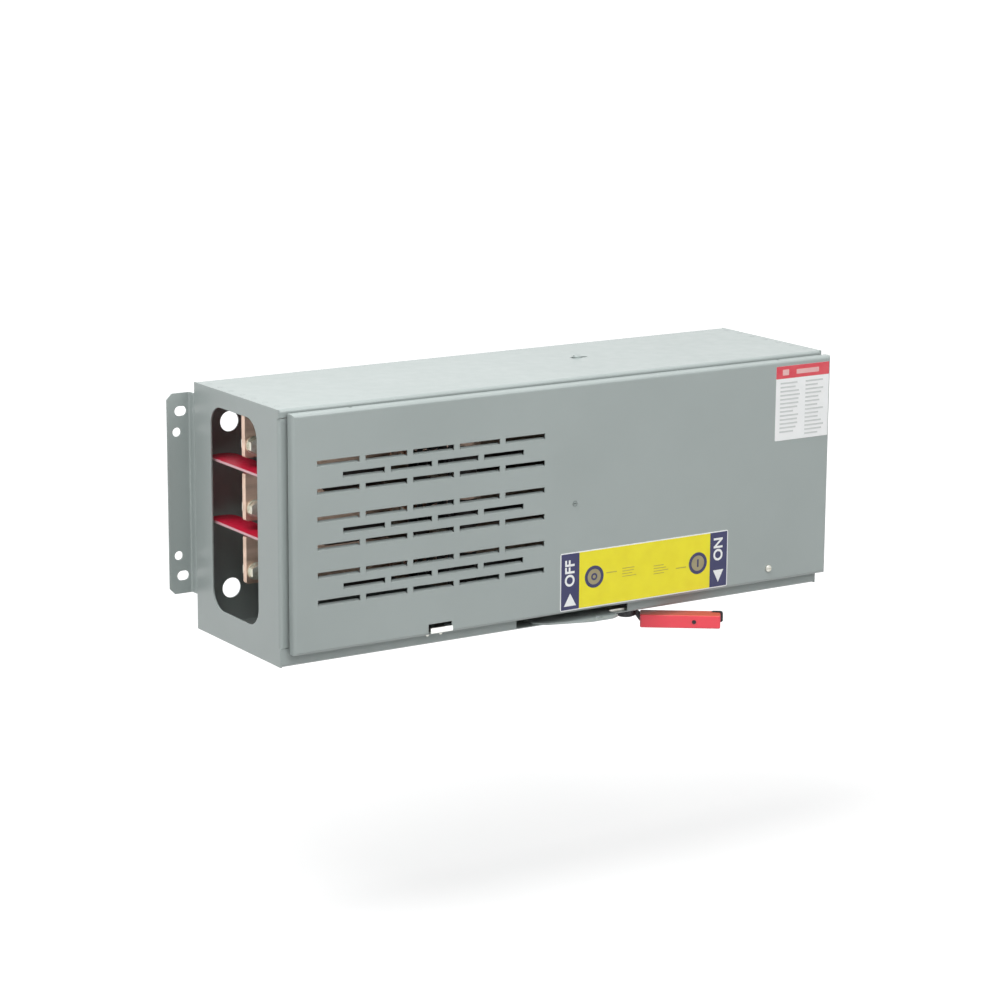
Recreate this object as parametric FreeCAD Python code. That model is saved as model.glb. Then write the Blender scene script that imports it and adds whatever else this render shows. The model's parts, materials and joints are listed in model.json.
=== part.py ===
import FreeCAD, Part
import math
import os

from FreeCAD import Rotation, Vector

# A three-pole fusible disconnect unit in a folded sheet-steel enclosure.
# Working axes: X from the line end to the load end, Y from the front opening to the back,
# Z up from the underside, all from the lower front corner of the line end.
# Every piece is moved to the row frame, whose origin lies on the mounting plane, when it is saved.

# ---- enclosure ----
ENCLOSURE_W = 787.4
ENCLOSURE_D = 209.55
ENCLOSURE_H = 304.8
SHEET = 1.9
BEND = 2.0
BOTTOM_FLANGE = 22.0
TOP_FLANGE = 10.0
END_FLANGE = 16.0
WELD_FLANGE = 14.0
FLANGE_RELIEF = 0.6
WINDOW_FRONT = 52.0
WINDOW_BACK = 168.0
WINDOW_LOW = 35.5
WINDOW_TOP_DROP = 20.8
WINDOW_R = 25.0
REAR_HOLE_R = 12.5
REAR_HOLE_X = 46.0
REAR_HOLE_LOW = 45.5
REAR_HOLE_TOP_DROP = 52.3

# ---- fits ----
FIT = 0.05
SEAT = 0.3

# ---- mounting brackets ----
BRACKET_OFFSET = 15.0
BRACKET_SHEET = 2.0
BRACKET_REACH = 30.0
BRACKET_FOOT = 20.0
BRACKET_LOW = 43.0
BRACKET_TOP_DROP = 14.4
BRACKET_CLIP = 7.0
OUTER_SLOT_OUT = 12.0
OUTER_SLOT_LENGTH = 16.0
OUTER_SLOT_R = 6.0
OUTER_SPACING = 203.2
INNER_HOLE_OUT = 17.5
INNER_HOLE_R = 5.6
INNER_SPACING = 152.4
RIVET_R = 2.4
RIVET_HEAD_R = 4.2
RIVET_HEAD = 1.6

# ---- cover ----
COVER_LEFT = 10.5
COVER_OVERHANG = 4.6
COVER_LOW = 15.5
COVER_TOP_DROP = 4.8
COVER_PROUD = 15.0
COVER_GAP = 3.0
COVER_SHEET = 1.5
COVER_EDGE_R = 4.0
COVER_SIDE_LAP = 13.0
VENT_LEFT = 42.0
VENT_LENGTH = 56.5
VENT_PITCH = 64.3
VENT_SHIFT = 34.0
VENT_HIGH = 7.0
VENT_ROW_PITCH = 16.5
VENT_COUNT_OUTER = 5
VENT_COUNT_MIDDLE = 4
LOUVRE_SHEET = 1.2
LOUVRE_DEPTH = 5.0
LOUVRE_RISE = 1.2

# ---- cover hinge, latch and screws ----
HINGE_SET_BACK = 7.0
HINGE_DROP = 6.0
HINGE_PIN_R = 2.0
HINGE_EYE_R = 4.0
HINGE_LUG = 3.0
HINGE_INSET = 80.0
HINGE_NECK = 9.0
LATCH_LEFT = 192.0
LATCH_WINDOW_W = 32.5
LATCH_WINDOW_H = 12.0
LATCH_SHEET = 1.6
LATCH_SIDE_GAP = 1.0
LATCH_LIFT = 6.0
LATCH_PROUD = 4.0
LATCH_LIP_HIGH = 6.5
LATCH_DROP = 3.3
LATCH_RIVET_R = 1.6
LATCH_RIVET_Z = 12.5
LATCH_NOTCH_GAP = 0.5
COVER_SCREW_INSET = 88.8
COVER_SCREW_Z = 33.0
COVER_SCREW_R = 2.4
INTERLOCK_X = 400.0
INTERLOCK_R = 2.5

# ---- poles ----
POLE_PITCH = 66.2
POLE_RAISE = 5.0
LINE_PITCH = 76.2
LINE_TOP_DROP = 123.1
PHASES = ("a", "b", "c")

# ---- insulating bases ----
BASE_FRONT = 112.0
BASE_THICK = 12.0
RIB_INSET = 10.0
RIB_THICK = 6.0
RIB_RISE = 24.0
RIB_DROP = 36.0
BASE_LEFT = 70.0
BASE_RIGHT = 500.0
BASE_LOW = 50.0
BASE_TOP_DROP = 34.8
LOAD_BASE_LEFT = 610.0
LOAD_BASE_RIGHT = 744.0
STANDOFF_R = 8.0
STANDOFF_STUD_R = 3.0
STANDOFF_INSET_Z = 10.0
STANDOFF_X = (132.0, 455.0, 640.0, 732.0)

# ---- straps, barriers and terminals ----
STRAP_THICK = 8.0
STRAP_WIDE = 58.0
POLE_STRAP_WIDE = 38.0
LINE_STRAP_LEFT = 12.0
JOG_LEFT = 75.0
JOG_RIGHT = 120.0
STRAP_R = 3.0
LINE_BOLT_X = 24.0
LINE_BOLT_DROP = 14.2
LINE_BOLT_R = 5.0
BARRIER_LEFT = 7.0
BARRIER_RIGHT = 90.0
BARRIER_FRONT = 45.0
BARRIER_BACK = 195.0
BARRIER_TONGUE = 35.0
BARRIER_TONGUE_R = 14.0
BARRIER_SHEET = 3.0
BARRIER_DROP = 4.0
LUG_LONG = 52.0
LUG_DEEP = 36.0
LUG_RIGHT = 742.0
CABLE_R = 12.0
LUG_SCREW_R = 7.0

# ---- rotor, blades and contacts ----
ROTOR_X = 300.0
ROTOR_Y = 78.0
ROTOR_R = 15.0
ROTOR_NECK_R = 9.95
ROTOR_JOURNAL_R = 8.0
ROTOR_TURN = 60.0
BLADE_THICK = 4.0
BLADE_WIDE = 22.0
BLADE_REACH = 85.0
BLADE_HUB_R = 20.0
CONTACT_SHEET = 2.5
CONTACT_GAP = 0.25
JAW_LEFT = 210.0
JAW_RIGHT = 240.0
JAW_MOUTH = 69.0
HINGE_CONTACT_HALF = 15.0
CONTACT_WEB = 18.0
CONTACT_BOLT_R = 3.0
CONTACT_BOLT_OUT = 12.0

# ---- arc chutes ----
CHUTE_IN_R = 68.0
CHUTE_OUT_R = 102.0
CHUTE_FIRST = 14.0
CHUTE_LAST = 49.0
CHUTE_SHEET = 2.0
CHUTE_HALF = 22.0
ARC_PLATES = 5
ARC_PLATE_SHEET = 1.6
ARC_NOTCH_HALF = 5.0
ARC_NOTCH_WEB = 11.0
ARC_NOTCH_R = CHUTE_OUT_R - ARC_NOTCH_WEB
ARC_PLATE_INSET = 2.0
ARC_PLATE_MARGIN = 2.0

# ---- fuses ----
FUSE_CENTRE_X = 555.0
FUSE_BODY = 96.0
FUSE_LONG = 181.0
FUSE_R = 27.0
FUSE_BLADE_THICK = 6.4
FUSE_BLADE_WIDE = 41.0
FUSE_BOLT_PITCH = 146.0
FUSE_BOLT_R = 5.0
FUSE_BAND = 12.0
FUSE_BAND_PROUD = 0.6

# ---- handle and drive ----
HANDLE_X = 507.0
HANDLE_Y = 27.0
HANDLE_REST = -35.5
HANDLE_SHAFT_R = 8.0
HANDLE_CRANK_R = 20.0
CRANK_THICK = 5.0
CRANK_LOW = 23.2
PIN_R = 4.0
DRIVE_BAR_LOW = 30.0
DRIVE_BAR_THICK = 4.0
DRIVE_BAR_WIDE = 26.0
DRIVE_BAR_LEFT = 300.0
DRIVE_BAR_KNEE = 400.0
DRIVE_BAR_ELBOW = 470.0
DRIVE_BAR_RIGHT = 614.0
HANDLE_SLOT_SIDE = 1.4
ROTOR_SLOT_SIDE = 0.6
SLOT_END = 0.4
GUIDE_POST_R = 5.0
GUIDE_POST_A_X = 350.0
GUIDE_POST_B_X = 560.0
LEVER_TOP = -3.0
LEVER_ROOT_HIGH = 7.5
LEVER_THICK = 5.0
LEVER_SET_BACK = 7.0
LEVER_REACH = 122.5
LEVER_HUB_R = 13.0
LEVER_NECK = 7.0
LEVER_COVERED = 1.5
LEVER_BLADE_HIGH = 11.0
LEVER_TIP_RISE = 2.5
LEVER_TIP_LONG = 13.0
GRIP_NEAR = 18.3
GRIP_FAR = 119.0
GRIP_WIDE = 25.0
GRIP_TOP = -7.5
GRIP_HIGH = 17.0
GRIP_R = 2.5
GRIP_RIVET_AT = 86.0
GRIP_RIVET_R = 1.6
FRAME_PLATE = 3.2
FRAME_BACK = 38.0
FRAME_RISE = 24.0
FRAME_PAST = 15.0
BUSH_R = 11.0
BUSH_FLANGE_R = 16.0
UPPER_BEARING_THICK = 4.0
UPPER_BEARING_TALL = 22.0
UPPER_BEARING_WIDE = 40.0

# ---- padlock plate and the opening above it ----
PLATE_THICK = 2.5
PADLOCK_R = 4.5
PLATE_LEFT = 352.0
PLATE_WIDE = 114.0
PLATE_SLOPE = 16.0
PLATE_SIDE = 6.0
PLATE_NOSE = 70.0
PLATE_NOSE_WIDE = 32.0
PLATE_NOSE_PROUD = 7.0
PLATE_REAR = 40.0
NOTCH_LEFT = 326.0
NOTCH_HIGH = 14.5

# ---- top screw ----
TOP_SLOT_X = 493.0
TOP_SLOT_Y = 117.0
TOP_SLOT_LONG = 24.0
TOP_SLOT_WIDE = 9.0
TOP_SCREW_R = 2.9
TOP_SCREW_HEAD_R = 5.6

# ---- worked out from the driving dimensions ----
MOUNT_PLANE = ENCLOSURE_D + BRACKET_OFFSET
BRACKET_TALL = ENCLOSURE_H - BRACKET_TOP_DROP - BRACKET_LOW
BRACKET_MID_Z = BRACKET_LOW + BRACKET_TALL / 2
ROW_ORIGIN = Vector(ENCLOSURE_W / 2, MOUNT_PLANE, BRACKET_MID_Z)
BACK_INSIDE = ENCLOSURE_D - SHEET
POLE_MID_Z = ENCLOSURE_H / 2 + POLE_RAISE
POLE_Z = (POLE_MID_Z - POLE_PITCH, POLE_MID_Z, POLE_MID_Z + POLE_PITCH)
LINE_MID_Z = ENCLOSURE_H - LINE_TOP_DROP
LINE_Z = (LINE_MID_Z - LINE_PITCH, LINE_MID_Z, LINE_MID_Z + LINE_PITCH)
WINDOW_HIGH = ENCLOSURE_H - WINDOW_TOP_DROP
REAR_HOLE_HIGH = ENCLOSURE_H - REAR_HOLE_TOP_DROP
BASE_HIGH = ENCLOSURE_H - BASE_TOP_DROP
COVER_HIGH = ENCLOSURE_H - COVER_TOP_DROP
COVER_SCREW_X = ENCLOSURE_W - COVER_SCREW_INSET
TOP_INSIDE = ENCLOSURE_H - SHEET
COVER_RIGHT = ENCLOSURE_W + COVER_OVERHANG
COVER_FACE = -COVER_PROUD
COVER_INSIDE = COVER_FACE + COVER_SHEET
HINGE_Y = COVER_FACE + HINGE_SET_BACK
HINGE_Z = COVER_HIGH - HINGE_DROP
STRAP_FRONT = BASE_FRONT - STRAP_THICK
CONTACT_Y = STRAP_FRONT - CONTACT_SHEET / 2
CONTACT_Z = BLADE_THICK / 2 + CONTACT_GAP + CONTACT_SHEET / 2
DRIVE_TRAVEL = 2 * HANDLE_CRANK_R * math.cos(math.radians(HANDLE_REST))
ROTOR_CRANK_R = DRIVE_TRAVEL / (2 * math.sin(math.radians(ROTOR_TURN / 2)))
HANDLE_PIN_LIFT = HANDLE_CRANK_R * (1 + math.sin(math.radians(HANDLE_REST)))
ROTOR_PIN_LIFT = ROTOR_CRANK_R * (1 - math.cos(math.radians(ROTOR_TURN / 2)))
HANDLE_LANE = HANDLE_Y - HANDLE_CRANK_R + HANDLE_PIN_LIFT / 2
ROTOR_LANE = ROTOR_Y + ROTOR_CRANK_R - ROTOR_PIN_LIFT / 2
DRIVE_BAR_HIGH = DRIVE_BAR_LOW + DRIVE_BAR_THICK
PLATE_RIGHT = PLATE_LEFT + PLATE_WIDE
FUSE_BLADE = (FUSE_LONG - FUSE_BODY) / 2
FUSE_AXIS_Y = STRAP_FRONT - FUSE_BLADE_THICK / 2
BARRIER_Z = ((LINE_Z[0] + LINE_Z[1]) / 2 - BARRIER_DROP, (LINE_Z[1] + LINE_Z[2]) / 2 - BARRIER_DROP)
COVER_MID_Z = ENCLOSURE_H / 2

# Sketch planes: the turn that lays a flat XY outline into the plane, and its thickness direction.
PLANES = {
    "xy": (Rotation(), Vector(0, 0, 1)),
    "xz": (Rotation(Vector(1, 0, 0), 90), Vector(0, 1, 0)),
    "yz": (Rotation(Vector(1, 1, 1), 120), Vector(1, 0, 0)),
}


# ---- outlines and simple solids ----
def corner_arc(before, corner, after, radius):
    """Start, middle and end of the arc that rounds a corner."""
    to_before = (before - corner).normalize()
    to_after = (after - corner).normalize()
    half = to_before.getAngle(to_after) / 2
    reach = radius / math.tan(half)
    bisector = (to_before + to_after).normalize()
    middle = corner + bisector * (radius / math.sin(half) - radius)
    return corner + to_before * reach, middle, corner + to_after * reach


def outline(points, radii):
    """Closed flat wire through (a, b) points, each corner rounded by its own radius."""
    corners = [Vector(a, b, 0) for a, b in points]
    count = len(corners)
    bends = []
    for i, corner in enumerate(corners):
        if radii[i] > 0:
            bends.append(corner_arc(corners[i - 1], corner, corners[(i + 1) % count], radii[i]))
        else:
            bends.append((corner, None, corner))
    edges = []
    for i, (start, middle, end) in enumerate(bends):
        if middle is not None:
            edges.append(Part.Arc(start, middle, end).toShape())
        following = bends[(i + 1) % count][0]
        if end.distanceToPoint(following) > 1e-6:
            edges.append(Part.makeLine(end, following))
    return Part.Wire(edges)


def extrude(wire, plane, start, length):
    """Solid from a flat wire laid into a sketch plane and given a thickness."""
    turn, direction = PLANES[plane]
    face = Part.Face(wire)
    face.Placement = FreeCAD.Placement(direction * start, turn)
    return face.extrude(direction * length)


def prism(plane, points, start, length, radius=0.0):
    """Flat plate with a polygon outline and equally rounded corners."""
    return extrude(outline(points, [radius] * len(points)), plane, start, length)


def plate(plane, a0, a1, b0, b1, start, length, radius=0.0):
    """Rectangular plate with rounded corners."""
    return prism(plane, [(a0, b0), (a1, b0), (a1, b1), (a0, b1)], start, length, radius)


def slab(x0, x1, y0, y1, z0, z1):
    """Plain rectangular block between two corners."""
    return Part.makeBox(x1 - x0, y1 - y0, z1 - z0, Vector(x0, y0, z0))


def disc(plane, a, b, radius, start, length):
    """Round bar or cutter standing on a sketch plane."""
    turn, direction = PLANES[plane]
    foot = turn.multVec(Vector(a, b, 0)) + direction * start
    return Part.makeCylinder(radius, length, foot, direction)


def obround(plane, a, b, along, length, width, start, thickness):
    """Slot-shaped bar, its long way along the plane's first or second axis."""
    half = length / 2
    side = width / 2
    if along == "a":
        return plate(plane, a - half, a + half, b - side, b + side, start, thickness, side - 1e-4)
    return plate(plane, a - side, a + side, b - half, b + half, start, thickness, side - 1e-4)


def link(plane, first, second, start, thickness):
    """Flat arm round two eyes, each given as (a, b, radius)."""
    a0, b0, r0 = first
    a1, b1, r1 = second
    way = Vector(a1 - a0, b1 - b0, 0)
    tilt = math.asin((r0 - r1) / way.Length)
    heading = math.atan2(way.y, way.x)
    corners = []
    for a, b, r, side in ((a0, b0, r0, 1), (a1, b1, r1, 1), (a1, b1, r1, -1), (a0, b0, r0, -1)):
        angle = heading + side * (math.pi / 2 - tilt)
        corners.append((a + r * math.cos(angle), b + r * math.sin(angle)))
    web = prism(plane, corners, start, thickness)
    eyes = [disc(plane, a0, b0, r0, start, thickness), disc(plane, a1, b1, r1, start, thickness)]
    return web.fuse(eyes).removeSplitter()


def folded(plane, path, thickness, bend, start, length):
    """Sheet folded along a path of (a, b) points on its middle layer."""
    points = [Vector(a, b, 0) for a, b in path]
    steps = [(q - p).normalize() for p, q in zip(points, points[1:])]
    left = []
    right = []
    left_radii = []
    right_radii = []
    for i, point in enumerate(points):
        before = steps[max(i - 1, 0)]
        after = steps[min(i, len(steps) - 1)]
        normal = Vector(-before.y, before.x, 0)
        mitre = (normal + Vector(-after.y, after.x, 0)).normalize()
        reach = thickness / 2 / mitre.dot(normal)
        left.append(point + mitre * reach)
        right.append(point - mitre * reach)
        turn = before.cross(after).z
        left_radii.append(0 if abs(turn) < 1e-9 else bend if turn > 0 else bend + thickness)
        right_radii.append(0 if abs(turn) < 1e-9 else bend + thickness if turn > 0 else bend)
    corners = [(p.x, p.y) for p in left + right[::-1]]
    return extrude(outline(corners, left_radii + right_radii[::-1]), plane, start, length)


def hexagon(plane, a, b, across, start, thickness):
    """Hexagonal head, its size given across the flats."""
    far = across / math.sqrt(3)
    points = []
    for i in range(6):
        angle = math.radians(60 * i + 30)
        points.append((a + far * math.cos(angle), b + far * math.sin(angle)))
    return prism(plane, points, start, thickness)


def joined(shapes):
    """One solid out of pieces that share walls."""
    return shapes[0].fuse(shapes[1:]).removeSplitter()


def group(shapes):
    """Identical loose pieces kept in one node."""
    return Part.makeCompound(shapes)


def to_load_end(shape):
    """Mirror image at the other end of the enclosure."""
    return shape.mirror(Vector(ENCLOSURE_W / 2, 0, 0), Vector(1, 0, 0))


# ---- fasteners ----
def hex_bolt(x, z, seat, radius, across, head, length, washer=0.0):
    """Bolt driven from the front: hexagon and washer in front of the seat, shank behind it."""
    pieces = [
        hexagon("xz", x, z, across, seat - washer - head, head),
        disc("xz", x, z, radius, seat - washer, washer + length),
    ]
    if washer > 0:
        pieces.append(disc("xz", x, z, across * 0.62, seat - washer, washer))
    return joined(pieces)


def bolt_hole(x, z, radius):
    """Clearance hole for a bolt through whatever lies at its place."""
    return disc("xz", x, z, radius + FIT, 0, ENCLOSURE_D)


def rivet(x, z, front, back):
    """Rivet along Y with a low head at each end."""
    heads = [disc("xz", x, z, RIVET_HEAD_R, front - RIVET_HEAD, RIVET_HEAD),
             disc("xz", x, z, RIVET_HEAD_R, back, RIVET_HEAD)]
    return joined([disc("xz", x, z, RIVET_R, front, back - front)] + heads)


def bracket_rivet_places():
    """(x, z) of the rivets that hold one mounting bracket."""
    x = (SHEET + WELD_FLANGE) / 2 + SHEET
    reach = BRACKET_TALL / 2 - 22
    return [(x, BRACKET_MID_Z + step * reach) for step in (-1, 0, 1)]


def latch_rivet_places():
    """(x, z) of the two guide rivets of the cover latch."""
    inset = LATCH_SIDE_GAP + 6
    return [(LATCH_LEFT + inset, LATCH_RIVET_Z), (LATCH_LEFT + LATCH_WINDOW_W - inset, LATCH_RIVET_Z)]


def latch_tab_low():
    """Underside of the latch's tab, a little above the lower edge of its window."""
    return COVER_LOW + COVER_SHEET + 1.4


# ---- enclosure ----
def enclosure_wrap():
    """Bottom, back and top in one folded sheet, with a front flange along each long edge."""
    mid = SHEET / 2
    path = [
        (mid, BOTTOM_FLANGE),
        (mid, mid),
        (ENCLOSURE_D - mid, mid),
        (ENCLOSURE_D - mid, ENCLOSURE_H - mid),
        (mid, ENCLOSURE_H - mid),
        (mid, ENCLOSURE_H - TOP_FLANGE),
    ]
    wrap = folded("yz", path, SHEET, BEND, SHEET, ENCLOSURE_W - 2 * SHEET)
    tab_half = 12.5
    tab_top = COVER_SCREW_Z + tab_half
    tab = plate("xz", COVER_SCREW_X - tab_half, COVER_SCREW_X + tab_half, BEND + SHEET, tab_top,
                0, SHEET, 4)
    wrap = joined([wrap, tab])
    cutters = [
        disc("xz", COVER_SCREW_X, COVER_SCREW_Z, COVER_SCREW_R + 1.6, -1, 2 * SHEET + 1),
        disc("xz", REAR_HOLE_X, REAR_HOLE_LOW, REAR_HOLE_R, BACK_INSIDE - 1, SHEET + 2),
        disc("xz", REAR_HOLE_X, REAR_HOLE_HIGH, REAR_HOLE_R, BACK_INSIDE - 1, SHEET + 2),
        disc("xy", HANDLE_X, HANDLE_Y, BUSH_R + FIT, -1, SHEET + 2),
        slab(NOTCH_LEFT, HANDLE_X - BUSH_FLANGE_R, -1, SHEET + BEND + 1, SHEET, NOTCH_HIGH),
        obround("xy", TOP_SLOT_X, TOP_SLOT_Y, "a", TOP_SLOT_LONG, TOP_SLOT_WIDE, TOP_INSIDE - 1, SHEET + 2),
    ]
    for x, z in bracket_rivet_places():
        cutters.append(disc("xz", x, z, RIVET_R + FIT, BACK_INSIDE - 1, SHEET + 2))
        cutters.append(disc("xz", ENCLOSURE_W - x, z, RIVET_R + FIT, BACK_INSIDE - 1, SHEET + 2))
    for x, z in latch_rivet_places():
        cutters.append(disc("xz", x, z, LATCH_RIVET_R + FIT, -1, SHEET + 2))
    latch_right = LATCH_LEFT + LATCH_WINDOW_W - LATCH_SIDE_GAP + LATCH_NOTCH_GAP
    cutters.append(slab(LATCH_LEFT + LATCH_SIDE_GAP - LATCH_NOTCH_GAP, latch_right, -1, SHEET + 1,
                        latch_tab_low() - LATCH_NOTCH_GAP, BOTTOM_FLANGE + 1))
    return wrap.cut(cutters)


def end_wall():
    """Line end wall: cable window, front flange, and flanges that lap inside the wrap."""
    flange_low = BOTTOM_FLANGE + FLANGE_RELIEF
    flange_high = ENCLOSURE_H - TOP_FLANGE - FLANGE_RELIEF
    root = SHEET + BEND
    relief = 8.0
    pieces = [
        slab(0, SHEET, root, ENCLOSURE_D, 0, ENCLOSURE_H),
        slab(0, SHEET, 0, root, 0, flange_low),
        slab(0, SHEET, 0, root, flange_high, ENCLOSURE_H),
        folded("xy", [(END_FLANGE, SHEET / 2), (SHEET / 2, SHEET / 2), (SHEET / 2, root + 1)],
               SHEET, BEND, flange_low, flange_high - flange_low),
        slab(SHEET, WELD_FLANGE, relief, BACK_INSIDE - relief, SHEET, 2 * SHEET),
        slab(SHEET, WELD_FLANGE, relief, BACK_INSIDE - relief, TOP_INSIDE - SHEET, TOP_INSIDE),
        slab(SHEET, WELD_FLANGE, BACK_INSIDE - SHEET, BACK_INSIDE, relief, TOP_INSIDE - relief),
    ]
    window = plate("yz", WINDOW_FRONT, WINDOW_BACK, WINDOW_LOW, WINDOW_HIGH, -1, SHEET + 2, WINDOW_R)
    cutters = [window]
    for x, z in bracket_rivet_places():
        cutters.append(disc("xz", x, z, RIVET_R + FIT, BACK_INSIDE - SHEET - 1, SHEET + 2))
    return joined(pieces).cut(cutters)


def mounting_bracket():
    """Z-section bracket behind the line end wall, with two slots and two round holes."""
    mid = BRACKET_SHEET / 2
    path = [
        (-BRACKET_REACH, MOUNT_PLANE - mid),
        (mid, MOUNT_PLANE - mid),
        (mid, ENCLOSURE_D + mid),
        (BRACKET_FOOT, ENCLOSURE_D + mid),
    ]
    bracket = folded("xy", path, BRACKET_SHEET, BEND, BRACKET_LOW, BRACKET_TALL)
    top = BRACKET_LOW + BRACKET_TALL
    behind = MOUNT_PLANE - BRACKET_SHEET - 1
    through = BRACKET_SHEET + 2
    cutters = []
    for z, inward in ((BRACKET_LOW, 1), (top, -1)):
        clip = [(-BRACKET_REACH - 1, z - inward), (-BRACKET_REACH - 1, z + inward * BRACKET_CLIP),
                (-BRACKET_REACH, z + inward * BRACKET_CLIP), (-BRACKET_REACH + BRACKET_CLIP, z),
                (-BRACKET_REACH + BRACKET_CLIP, z - inward)]
        cutters.append(prism("xz", clip, behind, through))
    for side in (-1, 1):
        outer_z = BRACKET_MID_Z + side * OUTER_SPACING / 2
        inner_z = BRACKET_MID_Z + side * INNER_SPACING / 2
        cutters.append(obround("xz", -OUTER_SLOT_OUT, outer_z, "a", OUTER_SLOT_LENGTH, 2 * OUTER_SLOT_R,
                               behind, through))
        cutters.append(disc("xz", -INNER_HOLE_OUT, inner_z, INNER_HOLE_R, behind, through))
    for x, z in bracket_rivet_places():
        cutters.append(disc("xz", x, z, RIVET_R + FIT, ENCLOSURE_D - 1, through + 1))
    return bracket.cut(cutters)


def enclosure_rivets():
    """Bracket rivets at both ends and the two guide rivets of the latch."""
    rivets = []
    for x, z in bracket_rivet_places():
        for place in (x, ENCLOSURE_W - x):
            rivets.append(rivet(place, z, BACK_INSIDE - SHEET, ENCLOSURE_D + BRACKET_SHEET))
    for x, z in latch_rivet_places():
        behind = SHEET + SEAT + LATCH_SHEET + FIT
        head = disc("xz", x, z, LATCH_RIVET_R * 1.5, -0.8, 0.8)
        tail = disc("xz", x, z, LATCH_RIVET_R * 1.6, behind, 1)
        rivets.append(joined([disc("xz", x, z, LATCH_RIVET_R, 0, behind), head, tail]))
    return group(rivets)


def padlock_plate():
    """Plate on the floor that stands out through the notch over the handle, with a padlock hole."""
    nose = COVER_FACE - PLATE_NOSE_PROUD
    nose_left = PLATE_LEFT + PLATE_NOSE
    points = [
        (PLATE_LEFT, PLATE_SIDE),
        (PLATE_LEFT + PLATE_SLOPE, -PLATE_SIDE),
        (nose_left, nose),
        (nose_left + PLATE_NOSE_WIDE, nose),
        (PLATE_RIGHT, nose + PLATE_SIDE),
        (PLATE_RIGHT, PLATE_REAR),
        (PLATE_LEFT, PLATE_REAR),
    ]
    sheet = prism("xy", points, SHEET, PLATE_THICK, 3.5)
    hole = disc("xy", nose_left + PLATE_NOSE_WIDE / 2, nose + PADLOCK_R + 3, PADLOCK_R, SHEET - 1,
                PLATE_THICK + 2)
    return sheet.cut(hole)


def top_bracket():
    """Hanger from the top of the enclosure to the upper edge of the insulating base."""
    behind = BASE_FRONT + BASE_THICK
    mid = SHEET / 2
    path = [(TOP_SLOT_Y - 12, TOP_INSIDE - mid), (behind + mid, TOP_INSIDE - mid),
            (behind + mid, BASE_HIGH - 18)]
    hanger = folded("yz", path, SHEET, BEND, TOP_SLOT_X - 11, 18)
    return hanger.cut(disc("xy", top_screw_x(), TOP_SLOT_Y, TOP_SCREW_R + FIT, TOP_INSIDE - 4, 6))


def top_screw_x():
    """The screw sits in the left half of its slot."""
    return TOP_SLOT_X - 3


def top_screw():
    """Pan head screw that holds the hanger from above."""
    x = top_screw_x()
    head = disc("xy", x, TOP_SLOT_Y, TOP_SCREW_HEAD_R, ENCLOSURE_H, 2.8)
    head = head.makeChamfer(1.0, [head.Edges[0]])
    slot = slab(x - TOP_SCREW_HEAD_R, x + TOP_SCREW_HEAD_R, TOP_SLOT_Y - 0.6, TOP_SLOT_Y + 0.6,
                ENCLOSURE_H + 1.8, ENCLOSURE_H + 4)
    shank = disc("xy", x, TOP_SLOT_Y, TOP_SCREW_R, TOP_INSIDE - 9, SHEET + 9)
    return joined([head, shank]).cut(slot)


# ---- cover, hinge and latch ----
def vent_places():
    """Left end and middle height of every louvred slot."""
    places = []
    for pole in POLE_Z:
        for row in (1, 0, -1):
            left = VENT_LEFT if row else VENT_LEFT + VENT_SHIFT
            for i in range(VENT_COUNT_OUTER if row else VENT_COUNT_MIDDLE):
                places.append((left + i * VENT_PITCH, pole + row * VENT_ROW_PITCH))
    return places


def louvre(left, mid_z):
    """Inward lip along the lower edge of a slot."""
    low = mid_z - VENT_HIGH / 2
    front = COVER_FACE + 0.2
    points = [
        (front, low - 0.4),
        (COVER_INSIDE, low - 0.4 - LOUVRE_SHEET),
        (COVER_INSIDE + LOUVRE_DEPTH, low + LOUVRE_RISE),
        (COVER_INSIDE + LOUVRE_DEPTH - LOUVRE_SHEET, low + LOUVRE_RISE + 0.6),
    ]
    return prism("yz", points, left, VENT_LENGTH)


def hinge_places():
    """X of the two fixed hinge lugs."""
    return [COVER_LEFT + HINGE_INSET, COVER_RIGHT - HINGE_INSET]


def cover_ear(x):
    """Welded ear beside a fixed hinge lug, from the cover's face to the pin."""
    left = x + HINGE_LUG + SEAT
    web = slab(left, left + HINGE_LUG, COVER_INSIDE - 0.5, HINGE_Y, HINGE_Z - HINGE_EYE_R,
               HINGE_Z + HINGE_EYE_R)
    eye = disc("yz", HINGE_Y, HINGE_Z, HINGE_EYE_R, left, HINGE_LUG)
    bore = disc("yz", HINGE_Y, HINGE_Z, HINGE_PIN_R + FIT / 2, left - 1, HINGE_LUG + 2)
    return web.fuse(eye).cut(bore)


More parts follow.
